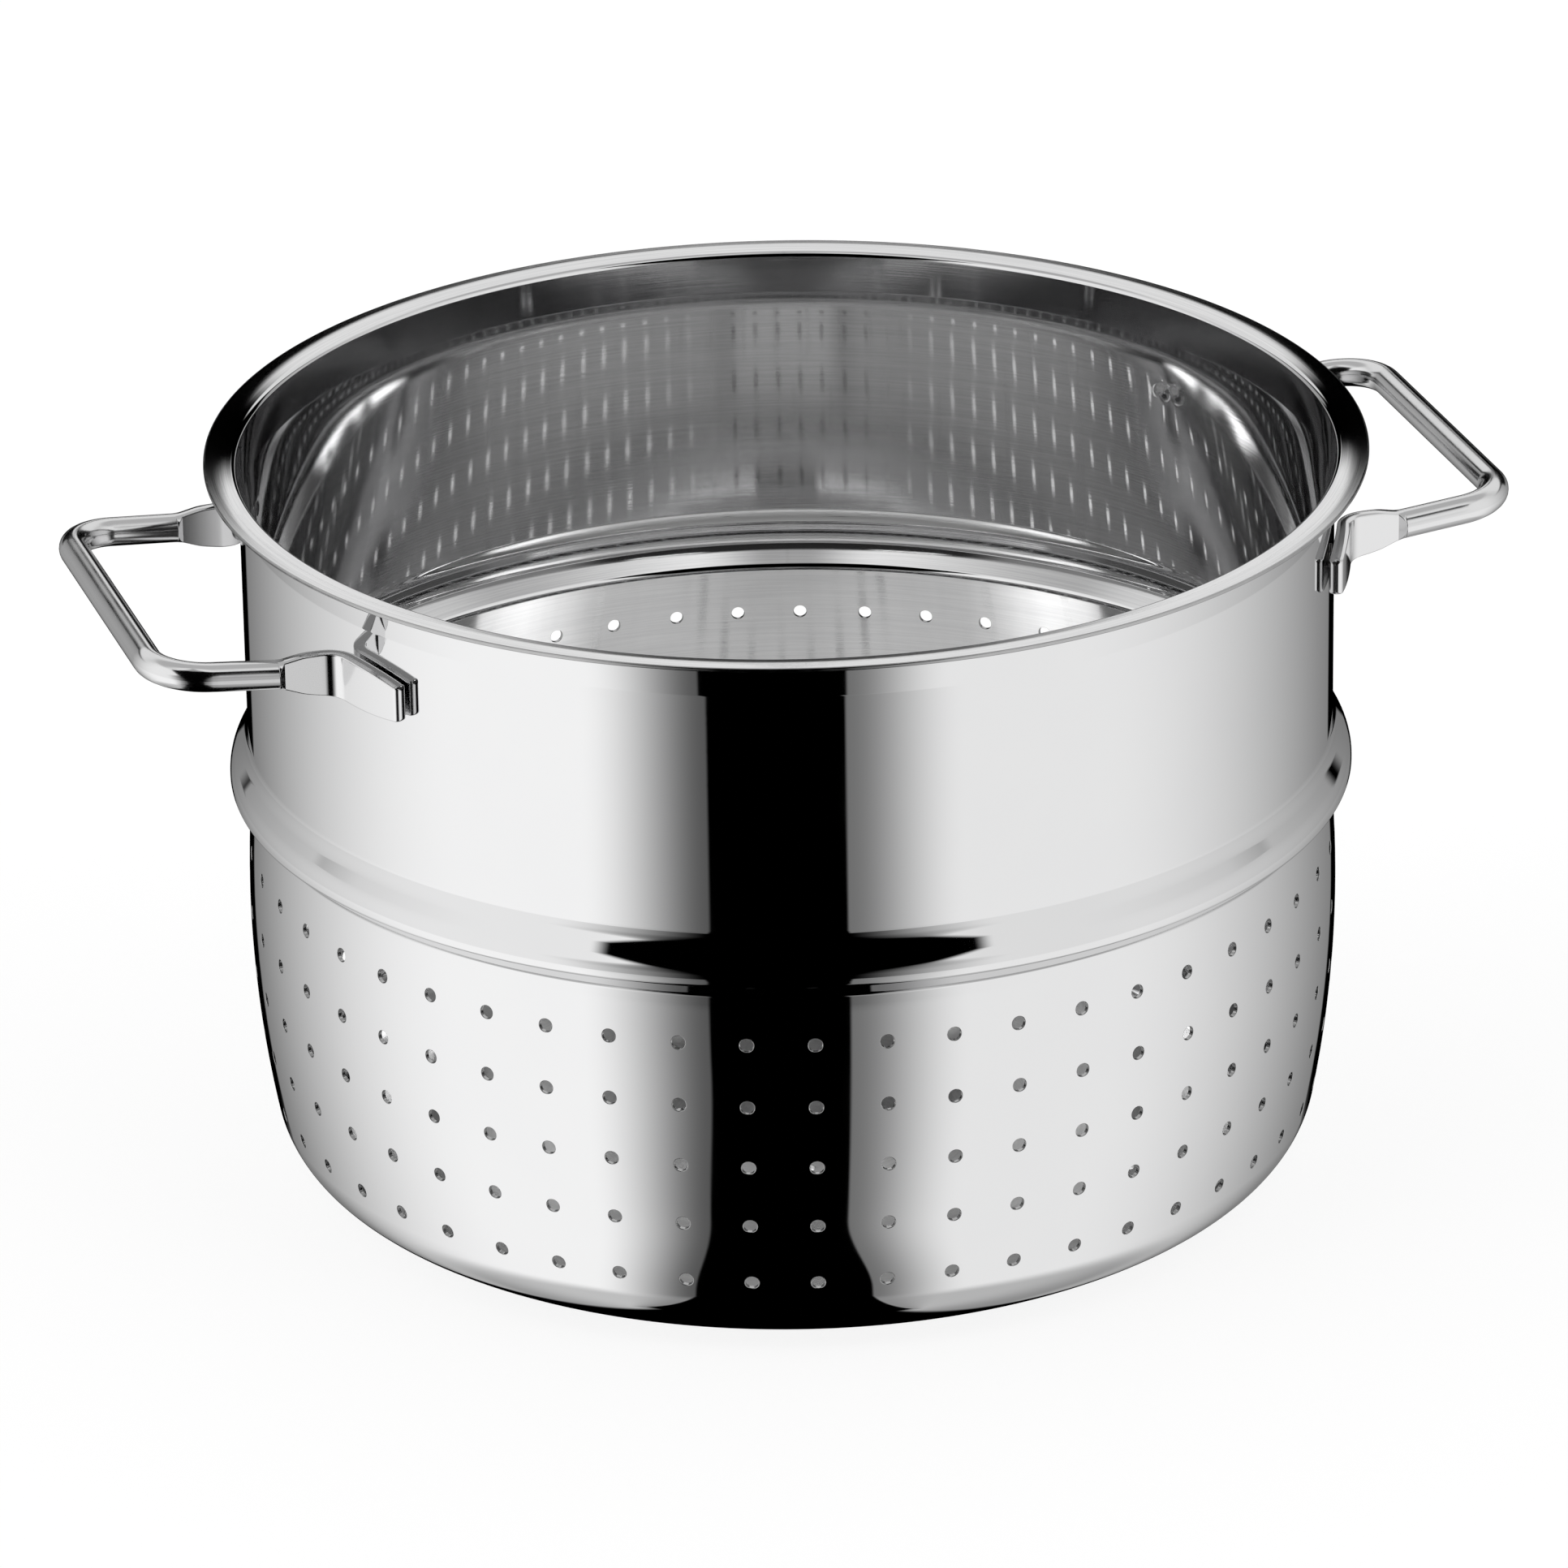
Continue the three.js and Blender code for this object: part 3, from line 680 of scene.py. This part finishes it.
def cut_edge():
    """Rounded edge of the lip, from its underside to its top."""
    points, normals = upper_profile()
    end, n = points[-1], normals[-1]
    t = np.array([-n[1], n[0]])
    c = CUT_EDGE_RADIUS
    rows = []
    for centre, a, b in ((end - c * t - c * n, n, t), (end - c * t - (SHEET - c) * n, t, -n)):
        for x in np.linspace(0, math.pi / 2, ROLL_POINTS):
            out = a * math.cos(x) + b * math.sin(x)
            rows.append((centre + c * out, out))
    return np.array([r[0] for r in rows]), np.array([r[1] for r in rows])


def make_shell(name, materials):
    skins = Skins()
    per_column = column_segments()
    pieces = [np.linspace(a, b, n + 1)[:-1] for a, b, n in zip(EDGES[:-1], EDGES[1:], per_column)]
    turns = np.concatenate(pieces)
    upper, upper_n = upper_profile()
    upper[-1] -= CUT_EDGE_RADIUS * np.array([-upper_n[-1][1], upper_n[-1][0]])
    for points, normals in (base_profile(), (upper, upper_n)):
        p, n = revolve(points, normals, turns)
        skins.grid(p, n, OUTSIDE, wrap=True)
        p, n = revolve(points - SHEET * normals, -draft_wall(points, normals), turns)
        if points is upper:
            p, n = press_marks(p, n)
        skins.grid(p, n, INSIDE, flip=True, wrap=True)
    p, n = revolve(*cut_edge(), turns)
    skins.grid(p, n, EDGE, wrap=True)
    for row, level in enumerate(ROW_HEIGHTS):
        radius = float(barrel(level)[0])
        for column, centre in enumerate(COLUMNS):
            low, high = EDGES[column], EDGES[column + 1]
            bottom, top = BAND_HEIGHTS[row], BAND_HEIGHTS[row + 1]
            outline = cell_outline(low, high, bottom, top, per_column[column], CELL_STEPS)
            flat = np.stack([(outline[:, 0] - centre) * radius, outline[:, 1] - level], -1)
            pierce(skins, flat, HOLE_RADIUS, wall_place(centre, level, radius))
    add_floor(skins, turns, per_column)
    return skins.build(name, materials)


# Node helpers


class Graph:
    """Short names for the shader nodes that this scene uses."""

    def __init__(self, tree):
        self.tree = tree
        tree.nodes.clear()

    def node(self, kind, inputs=None, **settings):
        made = self.tree.nodes.new(kind)
        for key, value in settings.items():
            setattr(made, key, value)
        for key, value in (inputs or {}).items():
            if isinstance(value, bpy.types.NodeSocket):
                self.tree.links.new(value, made.inputs[key])
            else:
                made.inputs[key].default_value = value
        return made

    def math(self, operation, *values):
        return self.node("ShaderNodeMath", dict(enumerate(values)), operation=operation).outputs[0]

    def add(self, a, b):
        return self.math("ADD", a, b)

    def multiply(self, a, b):
        return self.math("MULTIPLY", a, b)

    def ramp(self, value, start, stop, low=0.0, high=1.0):
        """Smooth step of a value from low at start to high at stop."""
        names = {"Value": value, "From Min": start, "From Max": stop, "To Min": low, "To Max": high}
        return self.node("ShaderNodeMapRange", names, interpolation_type="SMOOTHSTEP").outputs["Result"]

    def span(self, angle, degrees, low=0.0, high=1.0):
        """Smooth step between two angles in degrees."""
        return self.ramp(angle, math.radians(degrees[0]), math.radians(degrees[1]), low, high)

    def invert(self, value):
        return self.math("SUBTRACT", 1.0, value)

    def mix(self, low, high, share):
        return self.add(self.multiply(low, self.invert(share)), self.multiply(high, share))


# Materials


# Most of a noise's values lie between these
NOISE_LOW = 0.3
NOISE_HIGH = 0.7
# Turns the brush lines from up the wall to round it
BRUSH_TURN = 0.25


def cylinder_coordinates(g):
    """Object coordinates round the basket: turn in radians, metres from the axis and metres up."""
    xyz = g.node("ShaderNodeSeparateXYZ", {0: g.node("ShaderNodeTexCoord").outputs["Object"]}).outputs
    turn = g.math("ARCTAN2", xyz[1], xyz[0])
    radius = g.math("SQRT", g.add(g.multiply(xyz[0], xyz[0]), g.multiply(xyz[1], xyz[1])))
    return turn, radius, xyz[2]


def steel(name, tint, roughness, spread, brushed=None):
    """Procedural steel. tint and roughness are (low, high) pairs that noise mixes between.

    brushed gives the depth of the brush lines in metres, and the anisotropy."""
    material = bpy.data.materials.new(name)
    material.use_nodes = True
    g = Graph(material.node_tree)
    place = g.node("ShaderNodeTexCoord").outputs["Object"]
    cloud_inputs = {"Vector": place, "Scale": spread, "Detail": 3.0, "Roughness": 0.55}
    cloud = g.node("ShaderNodeTexNoise", cloud_inputs).outputs[0]
    shade = cloud
    rough_inputs = {"Value": cloud, "From Min": NOISE_LOW, "From Max": NOISE_HIGH,
                    "To Min": roughness[0], "To Max": roughness[1]}
    rough = g.node("ShaderNodeMapRange", rough_inputs).outputs[0]
    inputs = {"Metallic": 1.0, "Roughness": rough}
    if brushed:
        turn, radius, height = cylinder_coordinates(g)
        lines_at = {0: g.multiply(turn, BRUSH_ROUND), 1: g.multiply(radius, BRUSH_ACROSS),
                    2: g.multiply(height, BRUSH_ACROSS)}
        vector = g.node("ShaderNodeCombineXYZ", lines_at).outputs[0]
        line_inputs = {"Vector": vector, "Scale": 1.0, "Detail": 4.0, "Roughness": 0.6}
        lines = g.node("ShaderNodeTexNoise", line_inputs).outputs[0]
        shade = g.ramp(lines, NOISE_LOW, NOISE_HIGH)
        bump = g.node("ShaderNodeBump", {"Height": lines, "Strength": 1.0, "Distance": brushed["depth"]})
        inputs["Normal"] = bump.outputs[0]
        inputs["Anisotropic"] = brushed["anisotropic"]
        inputs["Anisotropic Rotation"] = BRUSH_TURN
        inputs["Tangent"] = g.node("ShaderNodeTangent", direction_type="RADIAL", axis="Z").outputs[0]
    tints = {0: shade, 6: (*tint[0], 1), 7: (*tint[1], 1)}
    inputs["Base Color"] = g.node("ShaderNodeMix", tints, data_type="RGBA").outputs[2]
    shader = g.node("ShaderNodeBsdfPrincipled", inputs)
    g.node("ShaderNodeOutputMaterial", {0: shader.outputs[0]})
    return material


polished = steel("polished_sheet", ((0.65, 0.65, 0.655), (0.67, 0.67, 0.67)), (0.015, 0.035), 40.0)
satin = steel("satin_sheet", ((0.63, 0.63, 0.635), (0.71, 0.71, 0.71)), (0.035, 0.05), 25.0,
              dict(depth=0.000003, anisotropic=0.9))
floor_satin = steel("satin_floor", ((0.7, 0.7, 0.7), (0.8, 0.8, 0.795)), (0.27, 0.33), 25.0,
                    dict(depth=0.000005, anisotropic=0.6))
# Hole walls, hole rims and the lip's cut edge get a darker tint. This is partly the duller punched finish
# and partly painted shade inside the holes
punched = steel("punched_edge_painted_shade", ((0.34, 0.34, 0.34), (0.44, 0.44, 0.44)), (0.08, 0.2), 300.0)
rod = steel("polished_rod", ((0.65, 0.65, 0.655), (0.68, 0.68, 0.68)), (0.1, 0.17), 60.0)
nugget = steel("weld_nugget", ((0.38, 0.38, 0.37), (0.55, 0.54, 0.52)), (0.35, 0.6), 500.0)

shell = make_shell("basket_shell_dressed", [polished, satin, punched, floor_satin])
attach(shell, "root")
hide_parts("basket_shell")

for side, turned in (("right", 0.0), ("left", math.pi)):
    handle = make_handle("handle_%s_dressed" % side, rod)
    handle.data.transform(Matrix.Rotation(turned, 4, "Z"))
    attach(handle, "root")
    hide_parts("handle_" + side)

for name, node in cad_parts.items():
    if name.startswith("weld_"):
        node.data.materials.clear()
        node.data.materials.append(nugget)

# Camera

# From the camera's heading to the object's frame
TURN = math.radians(17.17)
CAMERA_YAW = -0.0008004
CAMERA_PITCH = 0.4102447
CAMERA_ROLL = -0.0160158
CAMERA_BACK = 15.820699 * LIP_RADIUS
CAMERA_UP = 6.242049 * LIP_RADIUS + TOTAL_HEIGHT
FOCAL_PIXELS = 12200.983
IMAGE_PIXELS = 1932
SENSOR = 36.0
CLIP_START = 0.05
CLIP_END = 60.0


def turned(v):
    c, s = math.cos(-TURN), math.sin(-TURN)
    return Vector((v[0] * c - v[1] * s, v[0] * s + v[1] * c, v[2]))


def make_camera():
    right = turned((math.cos(CAMERA_YAW), -math.sin(CAMERA_YAW), 0))
    heading = turned((math.sin(CAMERA_YAW), math.cos(CAMERA_YAW), 0))
    level = Vector((0, 0, 1))
    forward = heading * math.cos(CAMERA_PITCH) - level * math.sin(CAMERA_PITCH)
    up = heading * math.sin(CAMERA_PITCH) + level * math.cos(CAMERA_PITCH)
    cr, sr = math.cos(CAMERA_ROLL), math.sin(CAMERA_ROLL)
    x_axis, y_axis = right * cr + up * sr, up * cr - right * sr
    data = bpy.data.cameras.new("camera")
    data.sensor_width = SENSOR
    data.lens = FOCAL_PIXELS / IMAGE_PIXELS * SENSOR
    data.clip_start, data.clip_end = CLIP_START, CLIP_END
    camera = bpy.data.objects.new("camera", data)
    matrix = Matrix((x_axis, y_axis, -forward)).transposed().to_4x4()
    matrix.translation = turned((0, -CAMERA_BACK, CAMERA_UP)) * MM
    camera.matrix_world = matrix
    bpy.context.scene.collection.objects.link(camera)
    bpy.context.scene.camera = camera


make_camera()

# Studio. Angles are in degrees. A pair of angles says where a smooth step starts and where it stops

# The two panels beside the camera. A bearing is measured from the camera, and a rise from the horizon.
# edge is the bearing of a panel's inner edge, first is its share of light there below the horizon, and
# soft is the width over which it grows to the full level. From peak on it fades to back_share. low_level
# is the level below the horizon. drift and swing move the edge low down and high up, and reach is the
# edge's sideways place far below, as a sine
PANELS = (
    dict(side=-1.0, edge=17.0, first=0.1, soft=33.0, peak=72.0, level=1.18, low_level=1.33, back_share=0.16,
         drift=3.4, swing=0.0, reach=0.3),
    dict(side=1.0, edge=11.0, first=0.2, soft=31.0, peak=66.0, level=1.06, low_level=1.17, back_share=0.2,
         drift=0.0, swing=5.0, reach=0.215),
)
CRISP_RISE = (8.0, 26.0)
LOW_RISE = (-13.0, -16.0)
SUNK_RISE = (-22.0, -46.0)
DEEP_RISE = (-35.0, -55.0)
STRAIGHT_RISE = (-38.0, -46.0)
CORNER_RISE = (-46.0, -58.0)
LEAN_TOP = 62.0
LEAN_GAIN = 0.3
CRISP_LEAN_GAIN = 0.14
LARGEST_LEAN_SINE = 0.95
LARGEST_REACH_SINE = 0.98
PANEL_BLUR = 0.8
LOW_NARROWING = 5.0
CRISP_WIDTH = 6.0
CORNER_WIDTH = 20.0
CORNER_FIRST = 0.33
CORNER_DIMMING = 0.42
FADE_END = 172.0
DEEP_BACK_SHARE = 0.3

# The room behind
DARK_RIGHT = (137.0, 141.0)
DARK_LEFT = -139.0
DARK_LEFT_LEAN = -0.7
DARK_RISE = (-1.0, 3.0)
DARK_BLUR = (0.0, 3.0)
OUTLINE_BEARING = (160.0, 162.0)
OUTLINE_FOOT = (-30.0, -27.0)
OUTLINE_TOP = (-1.0, -3.0)
MIDDLE_BEARING = (172.5, 176.0)
MIDDLE_RISE = (9.5, 13.0)
BACK_BEARING = (100.0, 140.0)
BACK_DARK_RISE = (19.5, 21.5)
BACKDROP_RISE = (24.5, 27.5)
BACKDROP_FADE = (34.0, 44.0)
BACKDROP_LEVELS = (1.1, 0.85)

# The ceiling: dark over the camera, brighter beside it than at the sides
CEILING_BEARING = (22.0, 58.0)
CEILING_STARTS = (63.0, 47.0)
CEILING_BLUR = (0.0, 9.0)
CEILING_SIDE = (40.0, 95.0)
CEILING_SIDE_LEVELS = (1.1, 0.6)
CEILING_FRONT = (8.0, 40.0)
CEILING_FRONT_LEVELS = (0.45, 1.0)

# What only the inside of the basket mirrors, after more bounces. The camera's own ray counts as one.
# The opening is dark in a gap over the camera. The lamps show after two or three bounces, the near ones
# after two, and a dimmer ring of them after four, with a low glow. After seven all of it is dimmer
SECOND_BOUNCE = 2.5
THIRD_BOUNCE = 3.5
FOURTH_BOUNCE = 4.5
SEVENTH_BOUNCE = 7.5
INNER_RISE = (9.0, 16.0)
OPENING_RISE = (55.0, 85.0)
OPENING_LEVELS = (0.36, 0.6)
GAP_BEARING = (52.0, 38.0)
GAP_RISE = (60.0, 48.0)
GAP_DEPTHS = (0.9, 0.55)
LAMP_FAR = (60.0, 80.0)
LAMP_FEET = (33.0, 26.0)
LAMP_BLUR = (0.0, 3.0)
LAMP_TOP = (48.0, 44.0)
LAMP_START = (18.0, 23.0)
LAMP_FADE = (100.0, 50.0)
LAMP_LEVELS = (1.3, 3.6)
NEAR_LAMP_RISE = (38.0, 41.0)
NEAR_LAMP_BEARING = (40.0, 35.0)
NEAR_LAMP_SHARE = 0.85
RING_FOOT = (26.0, 30.0)
RING_TOP = (51.0, 42.0)
RING_FRONT = (38.0, 24.0)
RING_SHARE = 0.5
LATE_LIGHT = 0.2
LATE_DIMMING = 0.6
GLOW_FOOT = (0.0, 3.0)
GLOW_TOP = (27.0, 20.0)
GLOW_LEVEL = 0.6

# The dark table, as sideways places for each unit down
TABLE_LEFT = (-0.27, -0.31)
TABLE_RIGHT = (0.18, 0.215)
SMALLEST_DROP = 0.001


def panel_light(g, bearing, rise, side, edge, first, soft, peak, level, low_level, back_share,
                drift, swing, reach):
    """Light of one panel. Its edge leans away going up, and keeps straight far below."""
    crisp, low, corner = g.span(rise, CRISP_RISE), g.span(rise, LOW_RISE), g.span(rise, CORNER_RISE)
    upward = g.math("MINIMUM", g.math("MAXIMUM", rise, 0.0), math.radians(LEAN_TOP))
    lean_gain = g.add(LEAN_GAIN, g.multiply(crisp, CRISP_LEAN_GAIN))
    lean_sine = g.multiply(g.math("TANGENT", upward), lean_gain)
    lean = g.math("ARCSINE", g.math("MINIMUM", lean_sine, LARGEST_LEAN_SINE))
    reach_sine = g.math("MINIMUM", g.math("DIVIDE", reach, g.math("COSINE", rise)), LARGEST_REACH_SINE)
    spread = g.math("SUBTRACT", g.math("ARCSINE", reach_sine), math.radians(edge + drift))
    round_off = g.multiply(g.span(rise, STRAIGHT_RISE), g.math("MAXIMUM", spread, 0.0))
    sunk = g.span(rise, SUNK_RISE, 0.0, math.radians(drift))
    start = g.add(g.add(math.radians(edge), lean), g.add(sunk, round_off))
    start = g.add(start, g.multiply(crisp, math.radians(swing)))
    angle = g.multiply(bearing, side)
    inside = g.math("SUBTRACT", angle, start)
    lit = g.span(inside, (0.0, PANEL_BLUR))
    edge_share = g.add(g.multiply(low, first), g.multiply(corner, CORNER_FIRST))
    width = g.ramp(low, 0.0, 1.0, math.radians(soft), math.radians(soft - LOW_NARROWING))
    width = g.mix(width, math.radians(CRISP_WIDTH), crisp)
    width = g.mix(width, math.radians(CORNER_WIDTH), corner)
    grow = g.mix(edge_share, 1.0, g.ramp(g.math("DIVIDE", inside, width), 0.0, 1.0))
    last = g.add(back_share, g.multiply(g.span(rise, DEEP_RISE), DEEP_BACK_SHARE))
    drop = g.mix(1.0, last, g.span(angle, (peak, FADE_END)))
    amount = g.add(level, g.multiply(low, low_level - level))
    amount = g.multiply(amount, g.invert(g.multiply(corner, CORNER_DIMMING)))
    return g.multiply(g.multiply(lit, grow), g.multiply(drop, amount))


def room_dark(g, bearing, away, rise):
    """Dark corner of the room behind, and the dark lines along the basket's outline."""
    above = g.span(rise, DARK_RISE)
    right = g.multiply(g.span(bearing, DARK_RIGHT), above)
    left_edge = g.add(math.radians(DARK_LEFT), g.multiply(g.math("MAXIMUM", rise, 0.0), DARK_LEFT_LEAN))
    left = g.multiply(g.span(g.math("SUBTRACT", left_edge, bearing), DARK_BLUR), above)
    outline_rise = g.multiply(g.span(rise, OUTLINE_FOOT), g.span(rise, OUTLINE_TOP))
    outline = g.multiply(g.span(away, OUTLINE_BEARING), outline_rise)
    return g.math("MAXIMUM", g.math("MAXIMUM", right, left), outline)


def inner_light(g, away, rise, third, fourth, tired):
    """Lamps over the basket, which only its inside mirrors."""
    low = g.math("SUBTRACT", rise, g.span(away, LAMP_FAR, *map(math.radians, LAMP_FEET)))
    band = g.multiply(g.span(low, LAMP_BLUR), g.span(rise, LAMP_TOP))
    lamps = g.multiply(g.multiply(band, g.span(away, LAMP_START)), g.span(away, LAMP_FADE, *LAMP_LEVELS))
    near = g.multiply(g.span(rise, NEAR_LAMP_RISE), g.span(away, NEAR_LAMP_BEARING, 0.0, NEAR_LAMP_SHARE))
    lamps = g.multiply(lamps, g.mix(near, 1.0, third))
    gap = g.multiply(g.span(away, GAP_BEARING), g.span(rise, GAP_RISE))
    gap = g.multiply(gap, g.mix(*GAP_DEPTHS, third))
    opening = g.multiply(g.span(rise, OPENING_RISE, *OPENING_LEVELS), g.invert(gap))
    ring = g.multiply(g.span(rise, RING_FOOT), g.span(rise, RING_TOP))
    ring = g.multiply(ring, g.add(RING_SHARE, g.multiply(g.span(away, RING_FRONT), 1 - RING_SHARE)))
    light = g.add(opening, g.mix(lamps, ring, fourth))
    return g.multiply(g.add(light, g.multiply(fourth, LATE_LIGHT)), tired)


def studio_light(g, bearing, rise, x, z, bounces):
    """Light of the studio by direction, in radians, and the share of white backdrop that metal mirrors."""
    away = g.math("ABSOLUTE", bearing)
    sides = g.add(*(panel_light(g, bearing, rise, **panel) for panel in PANELS))
    light = g.multiply(sides, g.invert(room_dark(g, bearing, away, rise)))
    light = g.add(light, g.multiply(g.span(away, MIDDLE_BEARING), g.span(rise, MIDDLE_RISE)))
    behind = g.span(away, BACK_BEARING)
    light = g.multiply(light, g.invert(g.multiply(behind, g.span(rise, BACK_DARK_RISE))))
    upper_back = g.multiply(behind, g.span(rise, BACKDROP_RISE))
    light = g.add(light, g.multiply(upper_back, g.span(rise, BACKDROP_FADE, *BACKDROP_LEVELS)))

    ceiling_start = g.span(away, CEILING_BEARING, *map(math.radians, CEILING_STARTS))
    ceiling = g.span(g.math("SUBTRACT", rise, ceiling_start), CEILING_BLUR)
    side_level = g.span(away, CEILING_SIDE, *CEILING_SIDE_LEVELS)
    front_level = g.span(away, CEILING_FRONT, *CEILING_FRONT_LEVELS)
    light = g.mix(light, g.multiply(side_level, front_level), ceiling)

    counts = (SECOND_BOUNCE, THIRD_BOUNCE, FOURTH_BOUNCE, SEVENTH_BOUNCE)
    second, third, fourth, seventh = (g.math("GREATER_THAN", bounces, count) for count in counts)
    tired = g.invert(g.multiply(seventh, LATE_DIMMING))
    inner = inner_light(g, away, rise, third, fourth, tired)
    light = g.mix(light, inner, g.multiply(second, g.span(rise, INNER_RISE)))
    glow = g.multiply(g.span(rise, GLOW_FOOT), g.span(rise, GLOW_TOP, 0.0, GLOW_LEVEL))
    light = g.add(light, g.multiply(g.multiply(fourth, tired), glow))

    slant = g.math("DIVIDE", x, g.math("MAXIMUM", g.multiply(z, -1.0), SMALLEST_DROP))
    off_table = g.math("MAXIMUM", g.ramp(slant, *TABLE_LEFT), g.ramp(slant, *TABLE_RIGHT))
    backdrop = g.multiply(g.multiply(upper_back, g.invert(ceiling)), g.invert(second))
    return g.multiply(light, off_table), backdrop


def make_world():
    """White to the camera. Metal mirrors that white behind and above, and elsewhere the studio."""
    world = bpy.data.worlds.new("studio")
    bpy.context.scene.world = world
    world.use_nodes = True
    g = Graph(world.node_tree)
    direction = g.node("ShaderNodeTexCoord").outputs["Generated"]
    facing = g.node("ShaderNodeVectorRotate", {"Vector": direction, "Angle": TURN}, rotation_type="Z_AXIS")
    x, y, z = g.node("ShaderNodeSeparateXYZ", {0: facing.outputs[0]}).outputs
    bearing = g.math("ARCTAN2", x, g.multiply(y, -1.0))
    rise = g.math("ARCSINE", z)
    path = g.node("ShaderNodeLightPath").outputs
    light, backdrop = studio_light(g, bearing, rise, x, z, path["Ray Depth"])
    studio = g.node("ShaderNodeBackground", {0: light, 1: 1.0}).outputs[0]
    white = g.node("ShaderNodeBackground", {0: (1, 1, 1, 1), 1: 1.0}).outputs[0]
    mirrored = g.math("MAXIMUM", path["Is Glossy Ray"], path["Is Transmission Ray"])
    share = g.math("MAXIMUM", path["Is Camera Ray"], g.multiply(mirrored, backdrop))
    mixed = g.node("ShaderNodeMixShader", {0: share, 1: studio, 2: white}).outputs[0]
    g.node("ShaderNodeOutputWorld", {0: mixed})


# Half the floor's side and its place under the basket, in metres, its colour, and what lifts it to white
FLOOR_HALF = 30.0
FLOOR_HEIGHT = -0.0002
FLOOR_COLOUR = 0.3
FLOOR_LIFT = 0.82


def make_floor():
    mesh = bpy.data.meshes.new("studio_floor")
    corners = [(a * FLOOR_HALF, b * FLOOR_HALF, 0) for a, b in ((-1, -1), (1, -1), (1, 1), (-1, 1))]
    mesh.from_pydata(corners, [], [(0, 1, 2, 3)])
    floor = bpy.data.objects.new("studio_floor", mesh)
    bpy.context.scene.collection.objects.link(floor)
    floor.location.z = FLOOR_HEIGHT
    material = bpy.data.materials.new("pale_floor")
    material.use_nodes = True
    g = Graph(material.node_tree)
    pale = g.node("ShaderNodeBsdfDiffuse", {"Color": (FLOOR_COLOUR,) * 3 + (1,)}).outputs[0]
    seen = g.node("ShaderNodeLightPath").outputs["Is Camera Ray"]
    strength = g.multiply(seen, FLOOR_LIFT)
    lift = g.node("ShaderNodeEmission", {"Color": (1, 1, 1, 1), "Strength": strength}).outputs[0]
    both = g.node("ShaderNodeAddShader", {0: pale, 1: lift}).outputs[0]
    g.node("ShaderNodeOutputMaterial", {0: both})
    mesh.materials.append(material)
    floor.visible_glossy = False


make_world()
make_floor()

scene = bpy.context.scene
scene.view_settings.view_transform = "Standard"
scene.cycles.max_bounces = 16
scene.cycles.glossy_bounces = 12
